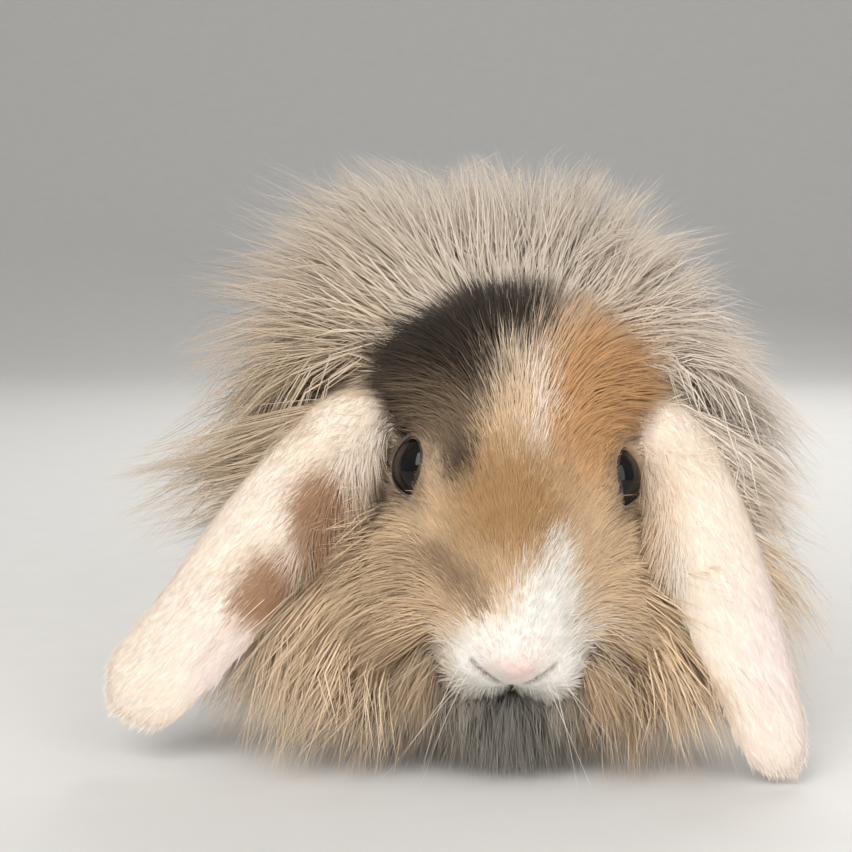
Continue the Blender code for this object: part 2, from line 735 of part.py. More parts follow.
def part_nodes(nodes):
    """Cuts each node clear of those before it, starting from the last."""
    for i in range(len(nodes) - 1, 0, -1):
        met = [other for other in nodes[:i] if near(nodes[i], other)]
        cutters = []
        if nodes[i].name == "neck" or nodes[i].name in MANE_NODES:
            met = [other for other in met if other.name not in CLEARED_BY_HULL]
            cutters.append(head_hull())
        if nodes[i].name.startswith("ear"):
            cutters += orbits(14, 9, EAR_TO_EYE)
        if nodes[i].name == "head":
            cutters += [eye_opening(side) for side in (-1, 1)]
        cutters += [grown(other) for other in met]
        if cutters:
            combine(nodes[i], cutters, "DIFFERENCE")


def main():
    clear_scene()
    nodes = [
        make_eye("eye_left", 1),
        make_eye("eye_right", -1),
        make_head(),
        make_ear("ear_left", 1, EAR_LEFT_LINE, EAR_LEFT_HALF_WIDTH),
        make_ear("ear_right", -1, EAR_RIGHT_LINE, EAR_RIGHT_HALF_WIDTH),
        make_torso(),
    ]
    for label, side in (("left", 1), ("right", -1)):
        nodes += [
            flat_foot("hind_foot_" + label, side, HIND_FOOT_SIDE, HIND_FOOT_STATIONS,
                      HIND_FOOT_SPLAY, HIND_TOES, 112, "white"),
            flat_foot("forepaw_" + label, side, FOREPAW_SIDE, FOREPAW_STATIONS, 0.0,
                      FORE_TOES, -44, "white"),
            make_haunch("haunch_" + label, side),
            make_foreleg("foreleg_" + label, side),
        ]
    nodes += [make_tail(), lofted("neck", NECK_STATIONS, 4, 14, UPRIGHT)]
    nodes += [make_mane(name, *values) for name, values in MANE_NODES.items()]
    part_nodes(nodes)


main()
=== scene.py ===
# %% [markdown]
# # A lionhead rabbit with hanging ears
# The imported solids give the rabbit's true size and place, but they are faceted and bare. Here they are
# dressed: one smooth skin takes the place of the flesh, and many thousands of fine tufts grow from it.
# Everything is in metres, the nose points along -Y, and the floor is at z = 0.

# %% Load the fixed frame
import math

import bmesh
import bpy
import numpy as np
from mathutils import Matrix, Vector
from mathutils.bvhtree import BVHTree
from mathutils.kdtree import KDTree


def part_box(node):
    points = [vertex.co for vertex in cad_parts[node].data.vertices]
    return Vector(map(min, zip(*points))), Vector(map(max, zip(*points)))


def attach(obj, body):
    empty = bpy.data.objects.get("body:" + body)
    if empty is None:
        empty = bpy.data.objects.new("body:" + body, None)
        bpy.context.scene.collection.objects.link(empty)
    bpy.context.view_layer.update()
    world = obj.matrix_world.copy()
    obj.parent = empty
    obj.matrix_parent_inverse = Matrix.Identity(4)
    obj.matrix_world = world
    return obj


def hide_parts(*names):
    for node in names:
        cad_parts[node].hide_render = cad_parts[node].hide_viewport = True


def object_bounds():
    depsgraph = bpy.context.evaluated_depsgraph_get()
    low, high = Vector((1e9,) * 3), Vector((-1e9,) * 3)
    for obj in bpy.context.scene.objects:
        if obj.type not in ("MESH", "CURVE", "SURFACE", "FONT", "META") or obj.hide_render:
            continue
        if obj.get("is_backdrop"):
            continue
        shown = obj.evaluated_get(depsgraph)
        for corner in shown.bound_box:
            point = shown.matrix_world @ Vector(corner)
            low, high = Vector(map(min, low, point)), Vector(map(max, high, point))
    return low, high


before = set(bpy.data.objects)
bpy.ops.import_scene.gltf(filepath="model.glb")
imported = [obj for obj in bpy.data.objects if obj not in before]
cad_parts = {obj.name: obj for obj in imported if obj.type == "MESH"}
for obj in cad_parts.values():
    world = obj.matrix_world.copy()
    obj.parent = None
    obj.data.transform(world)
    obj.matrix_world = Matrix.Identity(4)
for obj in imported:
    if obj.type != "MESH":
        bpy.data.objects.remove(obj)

cad_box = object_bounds()
MM = 0.001
print("solid nodes:", len(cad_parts), "box:", [[round(v, 4) for v in corner] for corner in cad_box])

# %% [markdown]
# ## Where the head is
# The head has its own frame, tipped down and rolled a little, because its markings, lids and lips are far
# easier to place as "so far to the side, forward and up". The frame is found from the two eyeballs.

# %% The head's frame
HEAD_PITCH, HEAD_ROLL = math.radians(48), math.radians(-4.5)
EYES_IN_HEAD = Vector((0.0, 1.0, 2.5)) * MM


def middle_of(node):
    low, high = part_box(node)
    return (low + high) / 2


def head_frame():
    """From the head's own metres to the world's: x to the side, y towards the nose, z to the crown."""
    forward = Vector((0, -math.cos(HEAD_PITCH), -math.sin(HEAD_PITCH)))
    up = Vector((0, -math.sin(HEAD_PITCH), math.cos(HEAD_PITCH)))
    axes = Matrix.Rotation(HEAD_ROLL, 3, forward) @ Matrix((Vector((1, 0, 0)), forward, up)).transposed()
    between_eyes = (middle_of("eye_left") + middle_of("eye_right")) / 2
    return Matrix.Translation(between_eyes - axes @ EYES_IN_HEAD) @ axes.to_4x4()


HEAD = head_frame()
print("head frame at", [round(v / MM, 1) for v in HEAD.translation], "mm")

# %% [markdown]
# ## Camera
# A close, nearly level view of the face, as in the photograph. A long lens keeps the nose from looking big.
# The picture is square, so the sensor's width is its height too.

# %% Camera
CAMERA_PLACE = (0.0, -0.523, 0.131)
CAMERA_TURN, CAMERA_TILT = math.radians(3.18), math.radians(84)
CAMERA_LENS, SENSOR = 69.2, 36.0


def make_camera():
    lens = bpy.data.cameras.new("camera")
    lens.lens, lens.sensor_width, lens.clip_start = CAMERA_LENS, SENSOR, 0.01
    camera = bpy.data.objects.new("camera", lens)
    turn = Matrix.Rotation(CAMERA_TURN, 4, "Z") @ Matrix.Rotation(CAMERA_TILT, 4, "X")
    camera.matrix_world = Matrix.Translation(CAMERA_PLACE) @ turn
    bpy.context.scene.collection.objects.link(camera)
    bpy.context.scene.camera = camera


make_camera()
print("camera", bpy.context.scene.camera.location)

# %% [markdown]
# ## Helpers for materials
# A material is a small graph. `add` makes a node, fills its sockets and sets its choices in one line, and a
# socket may be filled by a number, a colour, or another node's output. Colours are written as a painter
# picks them, from 0 to 255, and turned into the linear numbers that the shader needs.


# %% Material helpers
def paint(red, green, blue):
    """A screen colour as the shader's linear red, green, blue and alpha."""
    return tuple((c / 255) ** 2.2 for c in (red, green, blue)) + (1.0,)


def add(tree, kind, sockets=(), **choices):
    """One node, its choices set and its sockets filled with values or with other nodes' outputs."""
    item = tree.nodes.new("ShaderNode" + kind)
    for name, value in choices.items():
        setattr(item, name, value)
    for key, value in dict(sockets).items():
        if isinstance(value, bpy.types.NodeSocket):
            tree.links.new(value, item.inputs[key])
        else:
            item.inputs[key].default_value = value
    return item


def new_material(name, **shader):
    """An empty material with its shader, whose plain numbers are set on the shader's own sockets."""
    material = bpy.data.materials.new(name)
    material.use_nodes = True
    surface = material.node_tree.nodes["Principled BSDF"]
    for socket, value in shader.items():
        surface.inputs[socket.replace("_", " ")].default_value = value
    return material, material.node_tree, surface


# %% [markdown]
# ## The coat's colours and painted shade
# The coat is cream with tan and orange on the face, a dark brown patch over one brow, and a white muzzle and
# blaze. A few patches are painted shade instead: the bottom of one cheek and a fold beside the muzzle, and in
# part the rings round the eyes and the grey under the chin. Each marking is a soft ellipsoid in space: a place
# is scaled into the ellipsoid's own units, and the distance from its middle says how much of the colour shows.
# A Mapping node could do this too, but it turns as well as scales, which is slow here, where it comes once for
# each marking. Noise bends the edges, because hairs of two colours mix there. The skin and every tuft read this
# same group, the skin at its own surface and a tuft at its root, so they always agree.

# %% Markings
CREAM, TAN, ORANGE = paint(245, 230, 212), paint(224, 192, 154), paint(205, 156, 106)
DARK, BROW_GREY, WHITE = paint(40, 28, 18), paint(124, 104, 82), paint(246, 241, 232)
# the third colour here is painted shade, not a coat colour
EYE_RING_AND_SHADE, BROWN, PAINTED_SHADE_BROWN = paint(104, 80, 60), paint(124, 92, 64), paint(150, 122, 94)
PINK, BLUSH, GOLD = paint(236, 206, 196), paint(242, 226, 219), paint(190, 162, 124)
BEIGE, ASH_AND_SHADE, RUST = paint(176, 161, 142), paint(152, 147, 138), paint(162, 121, 87)
COPPER = paint(174, 134, 90)
PEACH, FAWN, HAZEL = paint(236, 206, 167), paint(212, 196, 172), paint(150, 116, 84)
# colour, middle in mm, radii in mm, softness of the edge
COAT_AND_SHADE_PATCHES = (
    (BEIGE, (0, 40, 120), (80, 130, 90), 0.5),
    (FAWN, (0, 70, 70), (90, 100, 110), 0.3),
    (GOLD, (8, 70, 150), (44, 80, 34), 0.8),
    (BROWN, (-24, 84, 138), (20, 30, 22), 0.6),
    (HAZEL, (34, 34, 128), (26, 26, 26), 0.6),
    (TAN, (56, 84, 76), (26, 28, 30), 0.6),
    (HAZEL, (40, 132, 84), (24, 22, 26), 0.6),
    (TAN, (-56, 44, 84), (24, 26, 26), 0.6),
    (HAZEL, (-50, 108, 66), (22, 24, 26), 0.7),
    (WHITE, (0, 60, 2), (80, 140, 20), 0.4),
    (WHITE, (0, 152, 46), (16, 12, 15), 0.5),
    (GOLD, (-62, -90, 96), (32, 24, 42), 0.8),
    (TAN, (0, -126, 60), (48, 34, 48), 0.5),
    (PEACH, (-34, -106, 48), (24, 22, 24), 0.6),
    (PEACH, (32, -106, 46), (22, 24, 28), 0.6),
    # painted shade: the bottom of this cheek turns darker and greyer, where shade falls under it
    (PAINTED_SHADE_BROWN, (-44, -106, 16), (20, 22, 10), 0.7),
    (ORANGE, (18, -108, 92), (13, 24, 23), 0.5),
    (COPPER, (-2, -130, 70), (15, 18, 16), 0.6),
    (CREAM, (37, -100, 94), (8, 18, 14), 0.6),
    (CREAM, (-43, -108, 88), (12, 14, 13), 0.4),
    (DARK, (-16, -106, 99), (14, 20, 16), 0.35),
    (DARK, (-4, -105, 110), (12, 15, 7), 0.4),
    (DARK, (-29, -108, 88), (5, 12, 9), 0.5),
    (DARK, (-14, -118, 82), (5, 11, 9), 0.6),
    (BROW_GREY, (-17, -112, 88), (9, 12, 9), 0.7),
    (CREAM, (5.5, -118, 92), (2.6, 12, 9), 0.8),
    # partly the darker fur round each eye, partly painted shade of the deep-set eye
    (EYE_RING_AND_SHADE, (-23, -108, 75), (9, 11, 10), 0.6),
    (EYE_RING_AND_SHADE, (24, -105, 73), (9, 11, 10), 0.6),
    # painted shade: a soft shadow line along the fold beside the muzzle
    (PAINTED_SHADE_BROWN, (-20, -126, 56), (6, 9, 2.8), 0.9),
    (PAINTED_SHADE_BROWN, (-15, -129, 52), (6, 9, 2.8), 0.9),
    (PAINTED_SHADE_BROWN, (-10, -132, 48), (6, 9, 3.0), 0.9),
    (WHITE, (3, -138, 31), (22, 18, 13), 0.3),
    (WHITE, (8, -137, 44), (9, 14, 11), 0.5),
    (WHITE, (10, -136, 55), (3.6, 12, 8), 0.6),
    # partly the beard's own grey, partly painted shade under the muzzle
    (ASH_AND_SHADE, (-9, -105, 14), (38, 31, 22), 0.4),
    (CREAM, (-62, -100, 12), (24, 34, 18), 0.6),
    (CREAM, (-75, -112, 45), (34, 26, 52), 0.3),
    (CREAM, (58, -114, 44), (22, 26, 54), 0.3),
    (BLUSH, (-72, -116, 26), (9, 14, 12), 0.8),
    (BLUSH, (68, -114, 34), (12, 16, 26), 0.9),
    (RUST, (-50, -110, 68), (9, 14, 9), 0.5),
    (RUST, (-49, -112, 56), (6, 14, 8), 0.6),
    (RUST, (-63, -114, 46), (9, 14, 10), 0.5),
    (PINK, (1, -142, 31), (10, 6, 8), 0.9),
)
EDGE_NOISE = 9.0 * MM


def make_coat_and_shade_colours():
    """The group that turns a place on the rabbit into its coat's colour there, or a few patches' painted shade."""
    tree = bpy.data.node_groups.new("rabbit_coat_and_shade_colours", "ShaderNodeTree")
    tree.interface.new_socket("Place", in_out="INPUT", socket_type="NodeSocketVector")
    tree.interface.new_socket("Colour", in_out="OUTPUT", socket_type="NodeSocketColor")
    given = tree.nodes.new("NodeGroupInput").outputs["Place"]
    noise = add(tree, "TexNoise", {"Vector": given, "Scale": 130.0, "Detail": 3.0}).outputs["Color"]
    centred = add(tree, "VectorMath", {0: noise, 1: (0.5, 0.5, 0.5)}, operation="SUBTRACT").outputs[0]
    bent = add(tree, "VectorMath", {0: centred, 1: (EDGE_NOISE,) * 3, 2: given}, operation="MULTIPLY_ADD")
    place, colour = bent.outputs[0], CREAM
    for tint, middle, radii, soft in COAT_AND_SHADE_PATCHES:
        per_radius = [1 / (radius * MM) for radius in radii]
        centre = [spot * MM * scale for spot, scale in zip(middle, per_radius)]
        local = add(tree, "VectorMath", {0: place, 1: per_radius}, operation="MULTIPLY").outputs[0]
        far = add(tree, "VectorMath", {0: local, 1: centre}, operation="DISTANCE").outputs["Value"]
        share = add(tree, "MapRange", {"Value": far, "From Min": 1 + soft, "From Max": 1 - soft},
                    interpolation_type="SMOOTHSTEP").outputs[0]
        mixed = add(tree, "Mix", {0: share, 6: colour, 7: tint}, data_type="RGBA")
        colour = mixed.outputs[2]
    tree.links.new(colour, tree.nodes.new("NodeGroupOutput").inputs["Colour"])
    return tree


coat_and_shade_colours = make_coat_and_shade_colours()
print("markings:", len(COAT_AND_SHADE_PATCHES), "soft patches,", len(coat_and_shade_colours.nodes), "nodes")

# %% [markdown]
# ## The bed of the mane
# Under a mane the neck is thick with wool. The solids have a core there, half way out to the tips. A torus
# makes the same bed: a circle is spun round the mane's line, and its points are then moved so that it reaches
# as far, and is as deep from front to back, as the mane is at each angle.

# %% The mane's shape and its bed
MANE_HEIGHT, MANE_INNER, BED_SHARE = 84.0, 26.0, 0.46
# angle from straight up towards +X, reach of the tips from the mane's line
MANE_REACH = (
    (-180, 84), (-160, 89), (-140, 103), (-120, 100), (-103, 98), (-88, 97), (-72, 94),
    (-55, 94), (-40, 91), (-25, 83), (0, 76), (25, 78), (42, 78), (60, 77), (80, 80),
    (100, 84), (120, 90), (140, 98), (160, 88), (180, 84),
)
# angle either way from straight up, front and back of the mane along y
MANE_SPAN = (
    (0, -87, -36), (60, -88, -38), (100, -90, -44), (125, -95, -56), (145, -108, -72),
    (165, -117, -84), (180, -118, -86),
)


def mane_angle(places):
    """The angle in degrees of places in mm round the mane's line."""
    return np.degrees(np.arctan2(places[:, 0], places[:, 2] - MANE_HEIGHT))


def mane_reach(angles):
    table = np.array(MANE_REACH, float)
    return np.interp(angles, table[:, 0], table[:, 1])


def mane_span(angles):
    table = np.array(MANE_SPAN, float)
    bare = np.abs(angles)
    return np.interp(bare, table[:, 0], table[:, 1]), np.interp(bare, table[:, 0], table[:, 2])


def mane_bed(data):
    """Adds the bed to a bmesh that holds the flesh."""
    ring = bmesh.ops.create_circle(data, segments=14, radius=1.0)["verts"]
    for vert in ring:
        vert.co = Vector((0, vert.co.y, vert.co.x + 3))
    edges = list({edge for vert in ring for edge in vert.link_edges})
    spun = bmesh.ops.spin(data, geom=ring + edges, axis=(0, 1, 0), cent=(0, 0, 0), angle=math.tau,
                          steps=40, use_merge=True)
    torus = set(ring) | {item for item in spun["geom_last"] if isinstance(item, bmesh.types.BMVert)}
    grown = list(torus)
    while grown:
        linked = {edge.other_vert(vert) for vert in grown for edge in vert.link_edges} - torus
        torus |= linked
        grown = list(linked)
    torus = list(torus)
    unit = np.array([vert.co for vert in torus])
    angle = np.degrees(np.arctan2(unit[:, 0], unit[:, 2]))
    out = np.hypot(unit[:, 0], unit[:, 2]) - 3
    front, back = mane_span(angle)
    core = MANE_INNER + BED_SHARE * (mane_reach(angle) - MANE_INNER)
    radius = (MANE_INNER + core) / 2 + out * (core - MANE_INNER) / 2
    y = (front + back) / 2 + unit[:, 1] * (back - front) / 2
    for vert, a, r, along in zip(torus, np.radians(angle), radius, y):
        vert.co = Vector((r * math.sin(a), along, MANE_HEIGHT + r * math.cos(a))) * MM
    bmesh.ops.recalc_face_normals(data, faces=list({face for vert in torus for face in vert.link_faces}))
    return len(torus)


# %% [markdown]
# ## One skin for the whole body
# The flesh is many solids that nearly touch. Copies of them are swollen a little so that they overlap, joined
# in one mesh with the bed, and remeshed: a voxel remesh lays one even, closed surface over all of them, so no
# seam is left. Blurring its points later takes away the facets, more on the body than on the face and feet.

# %% Skin: one surface over the flesh
SIDES = ("left", "right")
PAIRED = ("haunch", "foreleg", "forepaw", "hind_foot", "ear", "eye")
FLESH = ["head", "neck", "torso", "tail"] + [part + "_" + side for part in PAIRED for side in SIDES]
SWELL, VOXEL = 0.35 * MM, 1.65 * MM
WELD = 0.01 * MM


def place_object(name, data):
    """An object with this bmesh, linked into the scene."""
    mesh = bpy.data.meshes.new(name)
    data.to_mesh(mesh)
    data.free()
    item = bpy.data.objects.new(name, mesh)
    bpy.context.scene.collection.objects.link(item)
    return item


def apply_modifiers(item):
    """Makes the result of an object's modifiers its own mesh."""
    graph = bpy.context.evaluated_depsgraph_get()
    mesh = bpy.data.meshes.new_from_object(item.evaluated_get(graph))
    item.modifiers.clear()
    item.data = mesh


def join_flesh():
    data = bmesh.new()
    for name in FLESH:
        data.from_mesh(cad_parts[name].data)
    bmesh.ops.remove_doubles(data, verts=data.verts, dist=WELD)
    data.normal_update()
    for vert in data.verts:
        vert.co += vert.normal * SWELL
    print("flesh:", len(data.verts), "points, bed:", mane_bed(data))
    item = place_object("skin", data)
    remesh = item.modifiers.new("voxels", "REMESH")
    remesh.mode, remesh.voxel_size = "VOXEL", VOXEL
    apply_modifiers(item)
    return item


skin = join_flesh()
print("skin:", len(skin.data.vertices), "points after the remesh")

# %% [markdown]
# ## Which part of the body is where
# Fur on a nose, an ear and a flank differ in length, lie and density. Each point of the skin finds the solid
# nearest to it, and takes that part's values. The values are then blurred along the surface, so that one kind
# of fur runs into the next without a line.

# %% Arrays of the skin


def skin_arrays():
    """Places in metres, unit normals and edges of the skin's points."""
    mesh, count = skin.data, len(skin.data.vertices)
    places, normals = np.zeros(count * 3), np.zeros(count * 3)
    mesh.vertices.foreach_get("co", places)
    mesh.vertices.foreach_get("normal", normals)
    edges = np.zeros(len(mesh.edges) * 2, int)
    mesh.edges.foreach_get("vertices", edges)
    return places.reshape(-1, 3), normals.reshape(-1, 3), edges.reshape(-1, 2)


def blurred(values, edges, rounds):
    """Values spread along the skin's edges, each round half way to their neighbours' mean."""
    values = np.array(values, float)
    shape = values.shape
    values = values.reshape(len(values), -1)
    ends = np.concatenate([edges, edges[:, ::-1]])
    count = np.bincount(ends[:, 0], minlength=len(values)).clip(1)
    for _ in range(rounds):
        for column in range(values.shape[1]):
            total = np.bincount(ends[:, 0], values[ends[:, 1], column], minlength=len(values))
            values[:, column] = 0.5 * values[:, column] + 0.5 * total / count
    return values.reshape(shape)


def nearest_parts(places):
    """The name of the solid nearest to each place; what is far from all of them is the mane's bed."""
    data, owner = bmesh.new(), []
    for name in FLESH:
        data.from_mesh(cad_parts[name].data)
        part = {"neck": "mane", "eye_left": "head", "eye_right": "head"}.get(name, name)
        owner += [part] * (len(data.faces) - len(owner))
    tree = BVHTree.FromBMesh(data)
    found = []
    for place in places:
        _, _, face, far = tree.find_nearest(Vector(place))
        found.append("mane" if far > BED_CLEAR else owner[face])
    data.free()
    return np.array(found)


BED_CLEAR = 2.2 * MM
places, normals, edges = skin_arrays()
parts = nearest_parts(places)
print({part: int((parts == part).sum()) for part in sorted(set(parts))})

# %% [markdown]
# ## Smoothing and sinking the skin
# Fur has thickness, and the solids are drawn out to its tips. The skin therefore sinks below them by the
# coat's depth: thick on the back and tail, thin on the face and feet. Blurring the points first, many times
# on the body and few on the face, is what takes the facets away.

# %% Smooth and sink
# part: rounds of smoothing, depth of the coat in mm
SKIN_VALUES = {
    "head": (7, 2.0), "ear": (6, 0.9), "torso": (60, 5.0), "haunch": (60, 4.5), "foreleg": (20, 2.5),
    "forepaw": (4, 1.0), "hind_foot": (4, 1.2), "tail": (25, 6.0), "mane": (30, 0.4),
}


def by_part(table, parts, column):
    """A table's column as one number for each point of the skin."""
    found = np.zeros(len(parts))
    for name, row in table.items():
        found[np.char.startswith(parts, name)] = row[column]
    return found


def smooth_and_sink():
    rounds = blurred(by_part(SKIN_VALUES, parts, 0), edges, 8)
    smooth = places.copy()
    for number in range(int(rounds.max())):
        active = rounds > number
        smooth[active] = blurred(smooth, edges, 1)[active]
    skin.data.vertices.foreach_set("co", smooth.ravel())
    skin.data.update()
    _, outward, _ = skin_arrays()
    depth = blurred(by_part(SKIN_VALUES, parts, 1), edges, 12) * MM
    sunk = smooth - outward * depth[:, None]
    sunk[:, 2] = np.maximum(sunk[:, 2], 0.8 * MM)
    skin.data.vertices.foreach_set("co", sunk.ravel())
    skin.data.update()


smooth_and_sink()
places, normals, edges = skin_arrays()
print("skin sunk, lowest point", round(places[:, 2].min() / MM, 2), "mm")

# %% [markdown]
# ## A finer face
# Nostrils and lids are smaller than the skin's mesh. The faces of the muzzle and round the eyes are divided
# once more, which leaves the rest of the body light.

# %% Finer face
FACE_FORWARD, EYE_ROOM = 36 * MM, 15 * MM


def in_head(points):
    """Places in the head's own metres."""
    matrix = np.array(HEAD.inverted())
    return points @ matrix[:3, :3].T + matrix[:3, 3]


def refine_face():
    data = bmesh.new()
    data.from_mesh(skin.data)
    data.verts.ensure_lookup_table()
    local = in_head(places)
    near = local[:, 1] > FACE_FORWARD
    for side in SIDES:
        near |= np.linalg.norm(places - np.array(middle_of("eye_" + side)), axis=1) < EYE_ROOM
    near &= parts == "head"
    chosen = [edge for edge in data.edges if near[edge.verts[0].index] and near[edge.verts[1].index]]
    bmesh.ops.subdivide_edges(data, edges=chosen, cuts=1, use_grid_fill=True)
    bmesh.ops.triangulate(data, faces=[face for face in data.faces if len(face.verts) > 4])
    data.to_mesh(skin.data)
    data.free()


refine_face()
places, normals, edges = skin_arrays()
parts = np.append(parts, ["head"] * (len(places) - len(parts)))
print("skin:", len(places), "points after refining the face")

# %% [markdown]
# ## Eyes and the hollow that holds them
# A rabbit's eye is a dark ball that sits on the side of the head, mostly behind its lids. Each eye has a frame
# of its own that looks out of the head. Skin within the almond of the opening is pushed behind the ball, and
# skin round it is held just in front of the ball, as a lid is, and no higher than a shallow funnel.

# %% Eye frames and lids in the skin
EYE_RADIUS, LID_THICKNESS, FUNNEL = 9.2 * MM, 0.55 * MM, 0.55
EYE_FORWARD, EYE_UPWARD, NOSE_DROP = 0.34, 0.60, 0.35
OPENING_LENGTH, OPENING_HEIGHT, OPENING_TAPER = 7.8 * MM, 6.4 * MM, 0.5


def eye_frame(side):
    """The eye's place: x across the opening, y towards the nose, z out of the head."""
    sign = 1 if side == "left" else -1
    out = Vector((sign, EYE_FORWARD, EYE_UPWARD)).normalized()
    nose = Vector((0, 1, -NOSE_DROP))
    nose = (nose - nose.dot(out) * out).normalized()
    axes = HEAD.to_3x3() @ Matrix((nose.cross(out), nose, out)).transposed()
    return Matrix.Translation(middle_of("eye_" + side)) @ axes.to_4x4()


def opening_share(local):
    """How far out in the almond of the opening places in an eye's frame are: 1 is its edge."""
    along = local[:, 1] / OPENING_LENGTH
    over = local[:, 0] / (OPENING_HEIGHT * (1 - OPENING_TAPER * np.clip(along, 0, 1)))
    return np.hypot(along, over)


def seat_eyes():
    moved = places.copy()
    for side in SIDES:
        frame_of_eye = np.array(eye_frame(side))
        local = (places - frame_of_eye[:3, 3]) @ frame_of_eye[:3, :3]
        far = np.linalg.norm(local, axis=1)
        close = (far < 1.9 * EYE_RADIUS) & (local[:, 2] > 0)
        share = opening_share(local)
        behind = np.clip((share - 0.86) / 0.16, 0, 1)
        wanted = EYE_RADIUS * (0.86 + 0.14 * behind) + LID_THICKNESS * behind
        highest = EYE_RADIUS * (1.05 + FUNNEL * (share - 1))
        inside = close & (share < 1.05)
        lid = close & ~inside
        wanted = np.where(inside, wanted, np.clip(far, wanted, np.maximum(wanted, highest)))
        for chosen in (inside, lid):
            moved[chosen] = frame_of_eye[:3, 3] + (local * (wanted / far)[:, None])[chosen] @ frame_of_eye[:3, :3].T
    skin.data.vertices.foreach_set("co", moved.ravel())
    skin.data.update()


seat_eyes()

# %% [markdown]
# ## Nostrils, the split of the lip and the mouth
# These are creases. Seen from in front of the nose each is a short line, so a point of the muzzle is pushed in
# by how near it is to that line. The same nearness, times how dark each crease is, is kept as an attribute, and
# paints shade on the skin there.

# %% Creases of the muzzle
NOSTRIL = ((3.6, -9.6), (6.8, -7.4), (10.2, -5.6))
PHILTRUM = ((0.0, -11.0), (0.0, -12.5), (0.0, -15.5))
LIP = ((0.0, -18.0), (5.0, -20.4), (10.5, -20.6), (15.0, -18.0))
# line, whether it is mirrored, width in mm, depth in mm, how dark its painted shade is
CREASES = ((NOSTRIL, True, 0.8, 1.3, 0.6), (PHILTRUM, False, 0.9, 1.2, 1.0), (LIP, True, 0.7, 0.8, 0.6))
MUZZLE_FROM = 34.0


def line_distance(points, line):
    """Distance of flat points from a line of straight pieces."""
    best = np.full(len(points), 1e9)
    for start, end in zip(line, line[1:]):
        start, step = np.array(start, float), np.array(end, float) - np.array(start, float)
        along = np.clip((points - start) @ step / (step @ step), 0, 1)
        best = np.minimum(best, np.linalg.norm(points - start - along[:, None] * step, axis=1))
    return best


def carve_creases():
    places, normals, _ = skin_arrays()
    local = in_head(places) / MM
    muzzle = (parts == "head") & (local[:, 1] > MUZZLE_FROM)
    crease_shade, push = np.zeros(len(places)), np.zeros(len(places))
    for line, mirrored, width, depth, shade in CREASES:
        side = np.abs(local[:, 0]) if mirrored else local[:, 0]
        away = line_distance(np.stack([side, local[:, 2]], axis=1), line)
        near = np.exp(-(away / width) ** 2) * muzzle
        crease_shade, push = np.maximum(crease_shade, near * shade), np.maximum(push, near * depth)
    forward = np.array(HEAD.to_3x3() @ Vector((0, 1, 0)))
    places = places - (0.5 * normals + 0.5 * forward) * (push * MM)[:, None]
    skin.data.vertices.foreach_set("co", places.ravel())
    skin.data.attributes.new("crease_shade", "FLOAT", "POINT").data.foreach_set("value", crease_shade)
    skin.data.update()


carve_creases()
places, normals, edges = skin_arrays()
skin.data.shade_smooth()
print("creases carved, muzzle reaches y", round(places[:, 1].min() / MM, 1), "mm")

# %% [markdown]
# ## Skin material
# Between the tufts the skin shows the coat's colours and painted shade, with a fine bump that runs like short
# flat hair. On the nose it is bare and slightly moist, and the creases there are painted dark, as shade.

# %% Skin material
# painted shade for the creases of the nostrils, lip and mouth
CREASE_SHADE_COLOUR = paint(84, 54, 48)


def make_skin_material():
    material, tree, surface = new_material("rabbit_skin", Roughness=0.75, Sheen_Weight=0.25)
    place = add(tree, "TexCoord").outputs["Object"]
    group = tree.nodes.new("ShaderNodeGroup")
    group.node_tree = coat_and_shade_colours
    tree.links.new(place, group.inputs["Place"])
    crease_shade = add(tree, "Attribute", attribute_name="crease_shade").outputs["Fac"]
    # the creases are painted dark, as shade
    mixed = add(tree, "Mix", {0: crease_shade, 6: group.outputs["Colour"], 7: CREASE_SHADE_COLOUR}, data_type="RGBA")
    tree.links.new(mixed.outputs[2], surface.inputs["Base Color"])
    stretched = add(tree, "Mapping", {"Vector": place, "Scale": (1.0, 0.25, 0.6)}).outputs[0]
    hair = add(tree, "TexNoise", {"Vector": stretched, "Scale": 1400.0, "Detail": 3.0}).outputs["Fac"]
    bump = add(tree, "Bump", {"Height": hair, "Strength": 0.5, "Distance": 0.4 * MM}).outputs[0]
    tree.links.new(bump, surface.inputs["Normal"])
    return material


skin.data.materials.append(make_skin_material())

# %% [markdown]
# ## Unwrapping the skin
# Every tuft needs a place on a flat map, so that its colour can be baked. The skin is unwrapped by its own
# shape, and a tuft later takes the place of its root on this map.

# %% Unwrap
MAP = "OFBake"


def unwrap_skin():
    skin.data.uv_layers.new(name=MAP)
    bpy.context.view_layer.objects.active = skin
    skin.select_set(True)
    bpy.ops.object.mode_set(mode="EDIT")
    bpy.ops.mesh.select_all(action="SELECT")
    bpy.ops.uv.smart_project(angle_limit=math.radians(72), island_margin=0.002)
    bpy.ops.object.mode_set(mode="OBJECT")


unwrap_skin()
print("unwrapped", len(skin.data.polygons), "faces")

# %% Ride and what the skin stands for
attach(skin, "root")
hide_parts(*[name for name in FLESH if not name.startswith("eye")])

# %% [markdown]
# ## The eyes
# A rabbit's eye is nearly all pupil: a very dark brown iris round a black middle, under a clear wet surface.

# %% Eyes
IRIS, PUPIL = paint(20, 13, 10), paint(6, 5, 5)
PUPIL_SIZE, IRIS_SIZE = 0.52, 0.60


